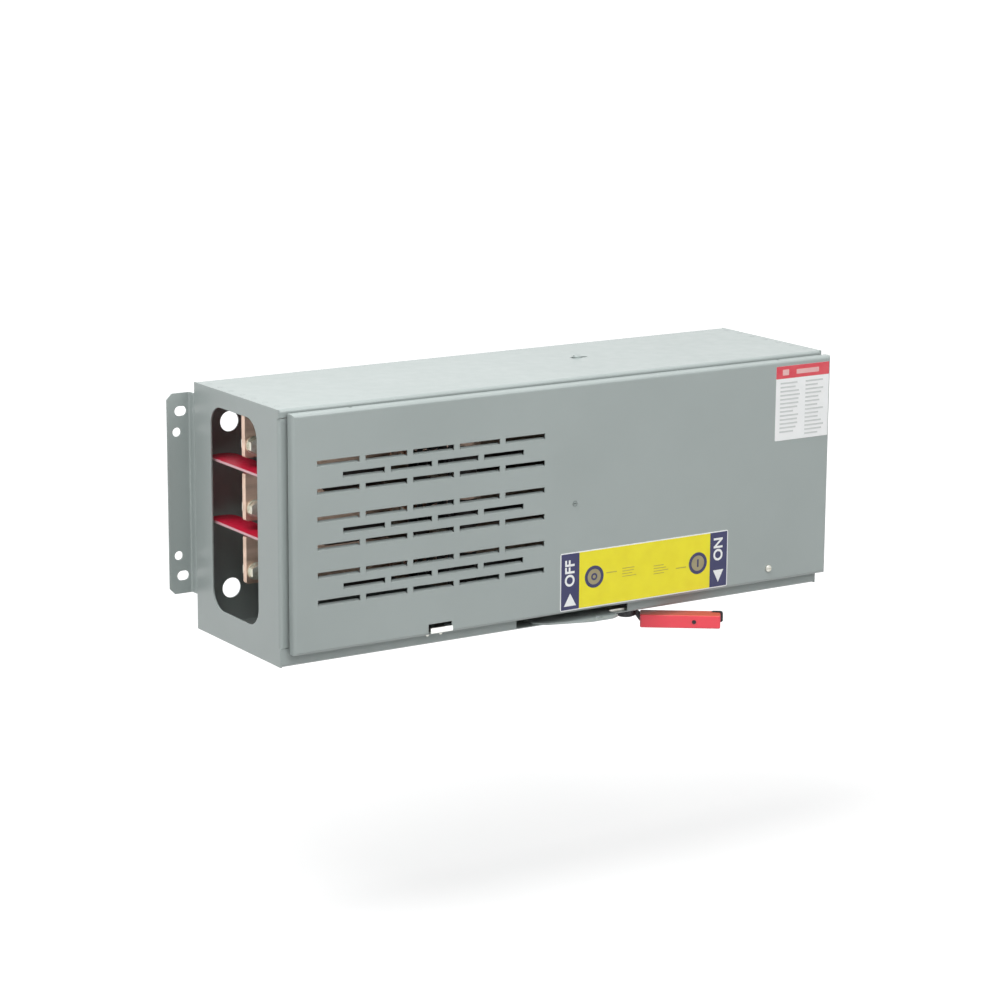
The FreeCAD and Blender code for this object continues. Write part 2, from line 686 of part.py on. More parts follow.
def cover():
    """Shallow pan with louvres, a latch window, screw holes and hinge ears."""
    rear = -COVER_GAP
    skin = COVER_SHEET
    outer = slab(COVER_LEFT, COVER_RIGHT, COVER_FACE, rear, COVER_LOW, COVER_HIGH)
    front_edges = [e for e in outer.Edges if e.BoundBox.YMax < COVER_FACE + 0.01]
    outer = outer.makeFillet(COVER_EDGE_R, front_edges)
    inner = slab(COVER_LEFT + skin, COVER_RIGHT - skin, COVER_INSIDE, rear + 1, COVER_LOW + skin,
                 COVER_HIGH - skin)
    inner_edges = [e for e in inner.Edges if e.BoundBox.YMax < COVER_INSIDE + 0.01]
    pan = outer.cut(inner.makeFillet(COVER_EDGE_R - skin, inner_edges))
    side_top = HINGE_Z - 2 * HINGE_EYE_R
    side_lap = slab(COVER_RIGHT - skin, COVER_RIGHT, COVER_FACE + 5, rear + COVER_SIDE_LAP,
                    COVER_LOW, side_top)
    cutters = [
        slab(LATCH_LEFT, LATCH_LEFT + LATCH_WINDOW_W, COVER_FACE - 1, COVER_INSIDE + 1,
             COVER_LOW + skin, COVER_LOW + skin + LATCH_WINDOW_H),
        disc("xz", COVER_SCREW_X, COVER_SCREW_Z, COVER_SCREW_R + FIT, COVER_FACE - 1, skin + 2),
        disc("xz", INTERLOCK_X, COVER_MID_Z, INTERLOCK_R + FIT, COVER_FACE - 1, skin + 2),
    ]
    for left, mid_z in vent_places():
        cutters.append(slab(left, left + VENT_LENGTH, COVER_FACE - 1, COVER_INSIDE + 1,
                            mid_z - VENT_HIGH / 2, mid_z + VENT_HIGH / 2))
    pan = pan.fuse(side_lap).cut(cutters)
    additions = [louvre(left, mid_z) for left, mid_z in vent_places()]
    additions += [cover_ear(x) for x in hinge_places()]
    pan = pan.fuse(additions)
    lug_room = [slab(x - SEAT, x + HINGE_LUG + SEAT, -HINGE_EYE_R - COVER_GAP, 0, HINGE_Z, COVER_HIGH + 1)
                for x in hinge_places()]
    return pan.cut(lug_room).removeSplitter()


def hinge_bracket(x):
    """Fixed gooseneck lug that reaches under the top front flange to the pin."""
    low = HINGE_Z - HINGE_NECK
    root = SHEET + HINGE_EYE_R + 2
    neck = link("yz", (HINGE_Y, HINGE_Z, HINGE_EYE_R), (HINGE_Y, low, HINGE_EYE_R), x, HINGE_LUG)
    reach = link("yz", (HINGE_Y, low, HINGE_EYE_R), (root, low, HINGE_EYE_R), x, HINGE_LUG)
    leg = slab(x, x + HINGE_LUG, SHEET, root + HINGE_EYE_R, low, TOP_INSIDE - BEND)
    foot = slab(x - 12, x + HINGE_LUG, SHEET, 2 * SHEET, low + 2, TOP_INSIDE - BEND)
    bore = disc("yz", HINGE_Y, HINGE_Z, HINGE_PIN_R + FIT, x - 1, HINGE_LUG + 2)
    return joined([neck, reach, leg, foot]).cut(bore)


def hinge_pin(x):
    """Headed pin through a fixed lug and the ear beside it."""
    head = disc("yz", HINGE_Y, HINGE_Z, HINGE_PIN_R + 1, x - 1.5, 1.2)
    return head.fuse(disc("yz", HINGE_Y, HINGE_Z, HINGE_PIN_R, x - 0.3, 2 * HINGE_LUG + SEAT + 1.3))


def cover_latch():
    """Zinc catch: a plate sliding behind the bottom flange, with a tab out through the cover's window."""
    back = SHEET + SEAT + LATCH_SHEET / 2
    tab_z = latch_tab_low() + LATCH_SHEET / 2
    left = LATCH_LEFT + LATCH_SIDE_GAP
    width = LATCH_WINDOW_W - 2 * LATCH_SIDE_GAP
    path = [(back, LATCH_DROP), (back, tab_z), (COVER_FACE - LATCH_PROUD, tab_z)]
    latch = folded("yz", path, LATCH_SHEET, 1.0, left, width)
    lip = slab(left, left + width, COVER_FACE - LATCH_PROUD, COVER_FACE - LATCH_PROUD + LATCH_SHEET,
               latch_tab_low(), latch_tab_low() + LATCH_LIP_HIGH)
    cutters = []
    for x, z in latch_rivet_places():
        cutters.append(obround("xz", x, z - LATCH_LIFT / 2, "b", LATCH_LIFT + 2 * LATCH_RIVET_R + 0.4,
                               2 * LATCH_RIVET_R + 0.4, 0, 2 * back))
    return joined([latch, lip]).cut(cutters)


def cover_screw():
    """Captive pan head screw at the lower load end of the cover."""
    head = disc("xz", COVER_SCREW_X, COVER_SCREW_Z, 4.4, COVER_FACE - 2.6, 2.6)
    head = head.makeChamfer(0.8, [e for e in head.Edges if e.BoundBox.YMax < COVER_FACE - 2.5])
    shank = disc("xz", COVER_SCREW_X, COVER_SCREW_Z, COVER_SCREW_R, COVER_FACE, COVER_PROUD + 8)
    slot = slab(COVER_SCREW_X - 5, COVER_SCREW_X + 5, COVER_FACE - 4, COVER_FACE - 1.4,
                COVER_SCREW_Z - 0.5, COVER_SCREW_Z + 0.5)
    return joined([head, shank]).cut(slot)


def interlock_release():
    """Slotted release screw in the middle of the cover, with its cam inside."""
    head = disc("xz", INTERLOCK_X, COVER_MID_Z, INTERLOCK_R + 1, COVER_FACE - 0.8, 0.8)
    shank = disc("xz", INTERLOCK_X, COVER_MID_Z, INTERLOCK_R, COVER_FACE, 9)
    cam_y = COVER_INSIDE + SEAT + 1
    cam = link("xz", (INTERLOCK_X, COVER_MID_Z, 5), (INTERLOCK_X + 14, COVER_MID_Z, 3), cam_y, 2)
    slot = slab(INTERLOCK_X - 4, INTERLOCK_X + 4, COVER_FACE - 2, COVER_FACE + 0.4,
                COVER_MID_Z - 0.5, COVER_MID_Z + 0.5)
    return joined([head, shank, cam]).cut(slot)


# ---- bases, barriers and straps ----
def standoff_places(first, last):
    """(x, z) of the stand-offs whose X lies between two edges."""
    heights = (BASE_LOW + STANDOFF_INSET_Z, BASE_HIGH - STANDOFF_INSET_Z)
    return [(x, z) for x in STANDOFF_X if first < x < last for z in heights]


def base_panel(left, right, holes):
    """Moulded insulating panel with a stiffening rib along each long edge."""
    panel = plate("xz", left, right, BASE_LOW, BASE_HIGH, BASE_FRONT, BASE_THICK, 6)
    back = BASE_FRONT + BASE_THICK
    ribs = [slab(left + RIB_INSET, right - RIB_INSET, back, back + RIB_THICK, low, low + RIB_THICK)
            for low in (BASE_LOW + RIB_RISE, BASE_HIGH - RIB_DROP)]
    panel = joined([panel] + ribs)
    cutters = [bolt_hole(x, z, STANDOFF_STUD_R) for x, z in standoff_places(left, right)]
    cutters += [bolt_hole(x, z, radius) for x, z, radius in holes]
    return panel.cut(cutters)


def contact_bolt_places():
    """(x, z) of the bolts that hold the line jaws and the hinge contacts."""
    jaw_x = (JAW_LEFT + JAW_RIGHT) / 2
    return [(x, pole + side * CONTACT_BOLT_OUT) for pole in POLE_Z for x in (jaw_x, ROTOR_X)
            for side in (-1, 1)]


def fuse_bolt_places(side):
    """(x, z) of the fuse bolts at the line side (-1) or the load side (+1)."""
    return [(FUSE_CENTRE_X + side * FUSE_BOLT_PITCH / 2, pole) for pole in POLE_Z]


def insulating_base():
    """Base of the switch."""
    holes = [(x, z, CONTACT_BOLT_R) for x, z in contact_bolt_places()]
    holes += [(x, z, FUSE_BOLT_R) for x, z in fuse_bolt_places(-1)]
    return base_panel(BASE_LEFT, BASE_RIGHT, holes)


def load_base():
    """Base of the load terminals."""
    return base_panel(LOAD_BASE_LEFT, LOAD_BASE_RIGHT, [(x, z, FUSE_BOLT_R) for x, z in fuse_bolt_places(1)])


def base_standoffs():
    """Pillars from the back wall, each with a stud and head through its base."""
    pillars = []
    back = BASE_FRONT + BASE_THICK
    for x, z in standoff_places(0, ENCLOSURE_W):
        pillars.append(joined([
            disc("xz", x, z, STANDOFF_R, back, BACK_INSIDE - back),
            disc("xz", x, z, STANDOFF_STUD_R, BASE_FRONT, BASE_THICK),
            hexagon("xz", x, z, 10, BASE_FRONT - 4, 4),
        ]))
    return group(pillars)


def phase_barrier(mid_z):
    """Insulating sheet between two line straps: seated on the base, with a rounded tongue beside it."""
    edge = BARRIER_LEFT + BARRIER_TONGUE
    points = [
        (BARRIER_LEFT, BARRIER_FRONT),
        (BARRIER_RIGHT, BARRIER_FRONT),
        (BARRIER_RIGHT, BASE_FRONT),
        (edge, BASE_FRONT),
        (edge, BARRIER_BACK),
        (BARRIER_LEFT, BARRIER_BACK),
    ]
    radii = [10, 10, 0, 2, BARRIER_TONGUE_R, BARRIER_TONGUE_R]
    return extrude(outline(points, radii), "xy", mid_z - BARRIER_SHEET / 2, BARRIER_SHEET)


def line_strap(line_z, pole_z):
    """Copper bar from the cable window to the line jaw, jogged from terminal to pole height."""
    wide = STRAP_WIDE / 2
    slim = POLE_STRAP_WIDE / 2
    right = JAW_RIGHT + 2
    points = [
        (LINE_STRAP_LEFT, line_z - wide),
        (JOG_LEFT, line_z - wide),
        (JOG_RIGHT, pole_z - slim),
        (right, pole_z - slim),
        (right, pole_z + slim),
        (JOG_RIGHT, pole_z + slim),
        (JOG_LEFT, line_z + wide),
        (LINE_STRAP_LEFT, line_z + wide),
    ]
    bar = prism("xz", points, STRAP_FRONT, STRAP_THICK, STRAP_R)
    cutters = [bolt_hole(LINE_BOLT_X, line_z - LINE_BOLT_DROP, LINE_BOLT_R)]
    for side in (-1, 1):
        cutters.append(bolt_hole((JAW_LEFT + JAW_RIGHT) / 2, pole_z + side * CONTACT_BOLT_OUT, CONTACT_BOLT_R))
    return bar.cut(cutters)


def line_bolts():
    """Cable bolts of the three line straps, with their nuts behind."""
    bolts = []
    for z in LINE_Z:
        place = z - LINE_BOLT_DROP
        bolt = hex_bolt(LINE_BOLT_X, place, STRAP_FRONT, LINE_BOLT_R, 17, 7, STRAP_THICK + 10, 1.6)
        bolts.append(joined([bolt, hexagon("xz", LINE_BOLT_X, place, 17, BASE_FRONT, 8)]))
    return group(bolts)


def load_straps():
    """Copper bars from the fuses to the load lugs."""
    bars = []
    slim = POLE_STRAP_WIDE / 2
    for pole, (x, z) in zip(POLE_Z, fuse_bolt_places(1)):
        bar = plate("xz", LOAD_BASE_LEFT, LUG_RIGHT, pole - slim, pole + slim,
                    STRAP_FRONT, STRAP_THICK, STRAP_R)
        bars.append(bar.cut(bolt_hole(x, z, FUSE_BOLT_R)))
    return group(bars)


def load_lug(pole):
    """Aluminium lug with a cable bore towards the load end and a clamp screw from the front."""
    slim = POLE_STRAP_WIDE / 2
    front = STRAP_FRONT - LUG_DEEP
    profile = [(front, pole - slim), (STRAP_FRONT, pole - slim),
               (STRAP_FRONT, pole + slim), (front, pole + slim)]
    body = extrude(outline(profile, [8, 0, 0, 8]), "yz", LUG_RIGHT - LUG_LONG, LUG_LONG)
    bore = disc("yz", STRAP_FRONT - LUG_DEEP / 2, pole, CABLE_R, LUG_RIGHT - LUG_LONG - 1, LUG_LONG + 2)
    screw = disc("xz", LUG_RIGHT - LUG_LONG / 2, pole, LUG_SCREW_R + FIT, front - 1, LUG_DEEP / 2)
    return body.cut([bore, screw])


def lug_screws():
    """Socket clamp screws of the load lugs, backed clear of the cable bores."""
    screws = []
    front = STRAP_FRONT - LUG_DEEP
    deep = LUG_DEEP / 2 - CABLE_R - SEAT
    for pole in POLE_Z:
        x = LUG_RIGHT - LUG_LONG / 2
        screw = disc("xz", x, pole, LUG_SCREW_R, front - 3, deep + 3)
        screws.append(screw.cut(hexagon("xz", x, pole, 6, front - 4, 5)))
    return group(screws)


# ---- contacts, chutes and fuses ----
def contact_leaf(path, side, pole, left, right):
    """Spring leaf above (+1) or below (-1) a blade, on the front of a strap."""
    turned = [(y, pole + side * z) for y, z in path]
    return folded("yz", turned, CONTACT_SHEET, 1.2, left, right - left)


def contact_bolt_cutters(x, pole):
    """Holes of the two bolts that hold a contact."""
    return [bolt_hole(x, pole + side * CONTACT_BOLT_OUT, CONTACT_BOLT_R) for side in (-1, 1)]


def line_jaw(pole):
    """Pair of flared spring leaves that the blade closes into from the front."""
    path = [(CONTACT_Y, CONTACT_WEB), (CONTACT_Y, CONTACT_Z), (JAW_MOUTH + 7, CONTACT_Z),
            (JAW_MOUTH, CONTACT_Z + 4)]
    leaves = [contact_leaf(path, side, pole, JAW_LEFT, JAW_RIGHT) for side in (-1, 1)]
    holes = contact_bolt_cutters((JAW_LEFT + JAW_RIGHT) / 2, pole)
    return group([leaf.cut(holes) for leaf in leaves])


def hinge_contact(pole):
    """Leaves that grip the blade's hub, on the bar that leads to the fuse."""
    front = ROTOR_Y + ROTOR_R + 1
    path = [(CONTACT_Y, CONTACT_WEB), (CONTACT_Y, CONTACT_Z), (front, CONTACT_Z)]
    left = ROTOR_X - HINGE_CONTACT_HALF
    right = ROTOR_X + HINGE_CONTACT_HALF
    slim = POLE_STRAP_WIDE / 2
    bar = plate("xz", left - 15, BASE_RIGHT, pole - slim, pole + slim, STRAP_FRONT, STRAP_THICK, STRAP_R)
    leaves = [contact_leaf(path, side, pole, left, right) for side in (-1, 1)]
    cutters = contact_bolt_cutters(ROTOR_X, pole)
    cutters.append(bolt_hole(FUSE_CENTRE_X - FUSE_BOLT_PITCH / 2, pole, FUSE_BOLT_R))
    return joined([bar] + leaves).cut(cutters)


def power_bolts():
    """Bolts of the contacts and of the fuse blades."""
    deep = STRAP_THICK + BASE_THICK - 2
    bolts = [hex_bolt(x, z, STRAP_FRONT - CONTACT_SHEET, CONTACT_BOLT_R, 8, 3.5, CONTACT_SHEET + deep)
             for x, z in contact_bolt_places()]
    for x, z in fuse_bolt_places(-1) + fuse_bolt_places(1):
        bolts.append(hex_bolt(x, z, STRAP_FRONT - FUSE_BLADE_THICK, FUSE_BOLT_R, 17, 6.5,
                              FUSE_BLADE_THICK + deep, 1.6))
    return group(bolts)


def round_rotor(angle, radius):
    """Point at a radius from the rotor, the angle counted from the closed blade towards the front."""
    turned = math.radians(angle)
    return ROTOR_X - radius * math.cos(turned), ROTOR_Y - radius * math.sin(turned)


def chute_side(low):
    """Fibre side of an arc chute: a foot on the base and a sector round the blade's path."""
    middle = (CHUTE_FIRST + CHUTE_LAST) / 2
    first_in = Vector(*round_rotor(CHUTE_FIRST, CHUTE_IN_R), 0)
    last_in = Vector(*round_rotor(CHUTE_LAST, CHUTE_IN_R), 0)
    last_out = Vector(*round_rotor(CHUTE_LAST, CHUTE_OUT_R), 0)
    turn_out = Vector(*round_rotor(0, CHUTE_OUT_R), 0)
    foot_left = Vector(turn_out.x, BASE_FRONT, 0)
    foot_right = Vector(first_in.x, BASE_FRONT, 0)
    outer_mid = Vector(*round_rotor(middle, CHUTE_OUT_R), 0)
    inner_mid = Vector(*round_rotor(middle, CHUTE_IN_R), 0)
    edges = [
        Part.Arc(turn_out, outer_mid, last_out).toShape(),
        Part.makeLine(last_out, last_in),
        Part.Arc(last_in, inner_mid, first_in).toShape(),
        Part.makeLine(first_in, foot_right),
        Part.makeLine(foot_right, foot_left),
        Part.makeLine(foot_left, turn_out),
    ]
    return extrude(Part.Wire(edges), "xy", low, CHUTE_SHEET)


def arc_chute(pole):
    """The two fibre sides of one pole's arc chute."""
    return group([chute_side(pole + CHUTE_HALF), chute_side(pole - CHUTE_HALF - CHUTE_SHEET)])


def arc_plate(pole, angle):
    """Steel splitter plate across the blade's path, notched for the blade."""
    near = ROTOR_X - CHUTE_OUT_R + ARC_PLATE_INSET
    far = ROTOR_X - CHUTE_IN_R - ARC_PLATE_INSET
    notch_end = ROTOR_X - ARC_NOTCH_R
    points = [
        (near, -CHUTE_HALF),
        (far, -CHUTE_HALF),
        (far, -ARC_NOTCH_HALF),
        (notch_end, -ARC_NOTCH_HALF),
        (notch_end, ARC_NOTCH_HALF),
        (far, ARC_NOTCH_HALF),
        (far, CHUTE_HALF),
        (near, CHUTE_HALF),
    ]
    shifted = [(x, pole + z) for x, z in points]
    sheet = prism("xz", shifted, ROTOR_Y - ARC_PLATE_SHEET / 2, ARC_PLATE_SHEET)
    sheet.rotate(Vector(ROTOR_X, ROTOR_Y, 0), Vector(0, 0, 1), angle)
    return sheet


def arc_plates():
    """Splitter plates of all three chutes."""
    first = CHUTE_FIRST + ARC_PLATE_MARGIN
    step = (CHUTE_LAST - ARC_PLATE_MARGIN - first) / (ARC_PLATES - 1)
    return group([arc_plate(pole, first + i * step) for pole in POLE_Z for i in range(ARC_PLATES)])


def fuse(pole):
    """Fuse barrel along X with an end band at each end."""
    half = FUSE_BODY / 2
    barrel = disc("yz", FUSE_AXIS_Y, pole, FUSE_R, FUSE_CENTRE_X - half, FUSE_BODY)
    bands = [disc("yz", FUSE_AXIS_Y, pole, FUSE_R + FUSE_BAND_PROUD, start, FUSE_BAND)
             for start in (FUSE_CENTRE_X - half, FUSE_CENTRE_X + half - FUSE_BAND)]
    return joined([barrel] + bands)


def fuse_blades():
    """Bolt-on blades at both ends of the three fuses."""
    blades = []
    half = FUSE_BODY / 2
    wide = FUSE_BLADE_WIDE / 2
    for pole in POLE_Z:
        for side in (-1, 1):
            root = FUSE_CENTRE_X + side * half
            tip = root + side * FUSE_BLADE
            blade = plate("xz", min(root, tip), max(root, tip), pole - wide, pole + wide,
                          STRAP_FRONT - FUSE_BLADE_THICK, FUSE_BLADE_THICK, 3)
            bolt_x = FUSE_CENTRE_X + side * FUSE_BOLT_PITCH / 2
            blades.append(blade.cut(bolt_hole(bolt_x, pole, FUSE_BOLT_R)))
    return group(blades)


# ---- rotor ----
def rotor_shaft():
    """Insulating shaft, turned down where a blade, the crank or a bearing sits."""
    neck = BLADE_THICK / 2
    crank_top = rotor_crank_low() + CRANK_THICK
    points = [(0, SHEET + SEAT), (ROTOR_JOURNAL_R, SHEET + SEAT), (ROTOR_JOURNAL_R, DRIVE_BAR_LOW),
              (ROTOR_NECK_R, DRIVE_BAR_LOW), (ROTOR_NECK_R, crank_top), (ROTOR_R, crank_top)]
    for pole in POLE_Z:
        points += [(ROTOR_R, pole - neck), (ROTOR_NECK_R, pole - neck), (ROTOR_NECK_R, pole + neck),
                   (ROTOR_R, pole + neck)]
    top = rotor_top()
    points += [(ROTOR_R, top), (ROTOR_JOURNAL_R, top), (ROTOR_JOURNAL_R, top + 10), (0, top + 10)]
    wire = Part.makePolygon([Vector(r, 0, z) for r, z in points + points[:1]])
    shaft = Part.Face(wire).revolve(Vector(0, 0, 0), Vector(0, 0, 1), 360)
    return shaft.translated(Vector(ROTOR_X, ROTOR_Y, 0))


def rotor_top():
    """Height of the shoulder under the upper bearing."""
    return POLE_Z[-1] + CHUTE_HALF


def rotor_crank_low():
    """Underside of the rotor crank, just above the drive bar."""
    return DRIVE_BAR_HIGH + 2.5


def rotor_crank():
    """Arm on the rotor shaft with the pin that the drive bar moves."""
    angle = math.radians(90 - ROTOR_TURN / 2)
    pin_x = ROTOR_X + ROTOR_CRANK_R * math.cos(angle)
    pin_y = ROTOR_Y + ROTOR_CRANK_R * math.sin(angle)
    low = rotor_crank_low()
    arm = link("xy", (ROTOR_X, ROTOR_Y, ROTOR_R), (pin_x, pin_y, 2 * PIN_R), low, CRANK_THICK)
    pin = disc("xy", pin_x, pin_y, PIN_R, DRIVE_BAR_LOW - 2, low - DRIVE_BAR_LOW + 3)
    bore = disc("xy", ROTOR_X, ROTOR_Y, ROTOR_NECK_R + FIT, low - 1, CRANK_THICK + 2)
    return joined([arm, pin]).cut(bore)


def blade(pole):
    """Copper switch blade, its hub round the rotor shaft and its tip in the line jaw."""
    low = pole - BLADE_THICK / 2
    half = BLADE_WIDE / 2
    bar = plate("xy", ROTOR_X - BLADE_REACH, ROTOR_X, ROTOR_Y - half, ROTOR_Y + half, low, BLADE_THICK, 5)
    hub = disc("xy", ROTOR_X, ROTOR_Y, BLADE_HUB_R, low, BLADE_THICK)
    bore = disc("xy", ROTOR_X, ROTOR_Y, ROTOR_NECK_R + FIT, low - 1, BLADE_THICK + 2)
    return joined([bar, hub]).cut(bore)


def rotor_bearing_lower():
    """Flanged bush on the floor of the enclosure."""
    bush = joined([disc("xy", ROTOR_X, ROTOR_Y, BUSH_FLANGE_R + 4, SHEET, 4),
                   disc("xy", ROTOR_X, ROTOR_Y, ROTOR_JOURNAL_R + 5, SHEET, 14)])
    return bush.cut(disc("xy", ROTOR_X, ROTOR_Y, ROTOR_JOURNAL_R + FIT, SHEET - 1, 20))


def rotor_bearing_upper():
    """Angle bracket on the base with the upper bearing hole."""
    thick = UPPER_BEARING_THICK
    low = rotor_top() + SEAT
    path = [(ROTOR_Y - BUSH_FLANGE_R, low + thick / 2), (BASE_FRONT - thick / 2, low + thick / 2),
            (BASE_FRONT - thick / 2, low + UPPER_BEARING_TALL)]
    bracket = folded("yz", path, thick, 3, ROTOR_X - UPPER_BEARING_WIDE / 2, UPPER_BEARING_WIDE)
    return bracket.cut(disc("xy", ROTOR_X, ROTOR_Y, ROTOR_JOURNAL_R + FIT, low - 1, thick + 2))


# ---- drive bar ----
def drive_bar():
    """Flat bar that carries the handle's motion to the rotor, slotted for both pins and both posts."""
    path = [(DRIVE_BAR_LEFT, ROTOR_LANE), (DRIVE_BAR_KNEE, ROTOR_LANE), (DRIVE_BAR_ELBOW, HANDLE_LANE),
            (DRIVE_BAR_RIGHT, HANDLE_LANE)]
    bar = folded("xy", path, DRIVE_BAR_WIDE, 8, DRIVE_BAR_LOW, DRIVE_BAR_THICK)
    below = DRIVE_BAR_LOW - 1
    through = DRIVE_BAR_THICK + 2
    half_travel = DRIVE_TRAVEL / 2
    pin_wide = 2 * PIN_R
    cutters = [
        obround("xy", ROTOR_X + half_travel, ROTOR_LANE, "b",
                ROTOR_PIN_LIFT + pin_wide + 2 * (ROTOR_SLOT_SIDE + SLOT_END), pin_wide + 2 * ROTOR_SLOT_SIDE,
                below, through),
        obround("xy", HANDLE_X + half_travel, HANDLE_LANE, "b",
                HANDLE_PIN_LIFT + pin_wide + 2 * (HANDLE_SLOT_SIDE + SLOT_END),
                pin_wide + 2 * HANDLE_SLOT_SIDE, below, through),
    ]
    for x, lane in ((GUIDE_POST_A_X, ROTOR_LANE), (GUIDE_POST_B_X, HANDLE_LANE)):
        width = 2 * (GUIDE_POST_R + 0.2)
        cutters.append(obround("xy", x + half_travel, lane, "a", DRIVE_TRAVEL + width + 2 * SLOT_END, width,
                               below, through))
    return bar.cut(cutters)


def guide_posts():
    """Shouldered posts with heads that keep the drive bar level."""
    posts = []
    places = ((GUIDE_POST_A_X, ROTOR_LANE, SHEET), (GUIDE_POST_B_X, HANDLE_LANE, SHEET + FRAME_PLATE))
    for x, lane, foot in places:
        shoulder = DRIVE_BAR_LOW - 0.2
        posts.append(joined([
            disc("xy", x, lane, GUIDE_POST_R + 3, foot, shoulder - foot),
            disc("xy", x, lane, GUIDE_POST_R, shoulder, DRIVE_BAR_THICK + 0.4),
            disc("xy", x, lane, GUIDE_POST_R + 3, shoulder + DRIVE_BAR_THICK + 0.4, 2.5),
        ]))
    return group(posts)


# ---- handle ----
def mechanism_frame():
    """Stiffening plate with an upturned rear edge, on the floor round the handle shaft."""
    mid = FRAME_PLATE / 2
    rear = HANDLE_Y + FRAME_BACK
    path = [(SHEET + BEND + 1, SHEET + mid), (rear, SHEET + mid), (rear, SHEET + FRAME_RISE)]
    left = PLATE_RIGHT + 1
    frame = folded("yz", path, FRAME_PLATE, BEND, left, GUIDE_POST_B_X + FRAME_PAST - left)
    return frame.cut(disc("xy", HANDLE_X, HANDLE_Y, BUSH_R + FIT, 0, 20))


def handle_bearing():
    """Flanged bush through the floor and the stiffening plate."""
    top = SHEET + FRAME_PLATE
    bush = joined([disc("xy", HANDLE_X, HANDLE_Y, BUSH_R, -2.5, top + 5.5),
                   disc("xy", HANDLE_X, HANDLE_Y, BUSH_FLANGE_R, top, 3)])
    return bush.cut(disc("xy", HANDLE_X, HANDLE_Y, HANDLE_SHAFT_R + FIT, -5, 20))


def handle_turned(shape):
    """Turns a piece drawn along +X from the pivot to the handle's rest direction."""
    shape.rotate(Vector(HANDLE_X, HANDLE_Y, 0), Vector(0, 0, 1), HANDLE_REST)
    return shape


def handle_shaft():
    """Forged shaft: riveted foot under the lever's hub, collar, journal, and the crank with its pin."""
    hub_low = LEVER_TOP - LEVER_ROOT_HIGH
    pin_x = HANDLE_X + HANDLE_CRANK_R
    crank_high = CRANK_LOW + CRANK_THICK
    pieces = [
        disc("xy", HANDLE_X, HANDLE_Y, HANDLE_SHAFT_R, hub_low, CRANK_LOW - hub_low + 1),
        disc("xy", HANDLE_X, HANDLE_Y, HANDLE_SHAFT_R + 1.5, hub_low - 1.6, 1.6),
        link("xy", (HANDLE_X, HANDLE_Y, HANDLE_SHAFT_R + 4), (pin_x, HANDLE_Y, 2 * PIN_R - 1), CRANK_LOW,
             CRANK_THICK),
        disc("xy", pin_x, HANDLE_Y, PIN_R, crank_high - 1, DRIVE_BAR_HIGH + 1.5 - crank_high + 1),
    ]
    return handle_turned(joined(pieces))


def lever_back():
    """Rear face of the lever's blade, behind the middle of the grip."""
    return HANDLE_Y + LEVER_SET_BACK + LEVER_THICK / 2


def handle_lever():
    """Steel bar on edge, welded to its hub, necked down to run inside the grip and out of its far end."""
    root_low = LEVER_TOP - LEVER_ROOT_HIGH
    blade_high = GRIP_TOP - LEVER_COVERED
    blade_low = blade_high - LEVER_BLADE_HIGH
    tip_high = blade_high + LEVER_TIP_RISE
    tip = HANDLE_X + LEVER_REACH
    shoulder = HANDLE_X + GRIP_NEAR - 0.5
    points = [
        (HANDLE_X, root_low),
        (shoulder - LEVER_NECK, root_low),
        (shoulder, blade_low),
        (tip, blade_low),
        (tip, tip_high),
        (tip - LEVER_TIP_LONG, tip_high),
        (tip - LEVER_TIP_LONG - LEVER_TIP_RISE, blade_high),
        (shoulder, blade_high),
        (shoulder - LEVER_NECK, LEVER_TOP),
        (HANDLE_X, LEVER_TOP),
    ]
    radii = [0, 2, 2, 3, 3, 0.5, 0.5, 2, 2, 0]
    bar = extrude(outline(points, radii), "xz", lever_back() - LEVER_THICK, LEVER_THICK)
    hub = disc("xy", HANDLE_X, HANDLE_Y, LEVER_HUB_R, root_low, LEVER_ROOT_HIGH)
    cutters = [
        disc("xy", HANDLE_X, HANDLE_Y, HANDLE_SHAFT_R + FIT, root_low - 1, LEVER_ROOT_HIGH + 2),
        disc("xz", HANDLE_X + GRIP_RIVET_AT, grip_rivet_z(), GRIP_RIVET_R, HANDLE_Y, GRIP_WIDE),
    ]
    return handle_turned(joined([bar, hub]).cut(cutters))


def grip_rivet_z():
    """Height of the cross rivet, at the middle of the grip."""
    return GRIP_TOP - GRIP_HIGH / 2


def handle_grip():
    """Moulded grip with rounded edges, pushed on the lever's blade and open above its tip."""
    left = HANDLE_X + GRIP_NEAR
    right = HANDLE_X + GRIP_FAR
    half = GRIP_WIDE / 2
    body = plate("xy", left, right, HANDLE_Y - half, HANDLE_Y + half,
                 GRIP_TOP - GRIP_HIGH, GRIP_HIGH, GRIP_R)
    flat_edges = [e for e in body.Edges if abs(e.BoundBox.ZMax - e.BoundBox.ZMin) < 0.01]
    body = body.makeFillet(GRIP_R * 0.6, flat_edges)
    room = 2 * FIT
    slot_front = lever_back() - LEVER_THICK - room
    slot_back = lever_back() + room
    slot_high = GRIP_TOP - LEVER_COVERED + room
    slot_low = slot_high - LEVER_BLADE_HIGH - 2 * room
    tip_left = HANDLE_X + LEVER_REACH - LEVER_TIP_LONG - LEVER_TIP_RISE - room
    blade_slot = slab(left - 1, right + 1, slot_front, slot_back, slot_low, slot_high)
    tip_slot = slab(tip_left, right + 1, slot_front, slot_back, slot_low, GRIP_TOP + 1)
    rivet_hole = disc("xz", HANDLE_X + GRIP_RIVET_AT, grip_rivet_z(), GRIP_RIVET_R, HANDLE_Y - half - 1,
                      GRIP_WIDE + 2)
    return handle_turned(body.cut([blade_slot, tip_slot, rivet_hole]))


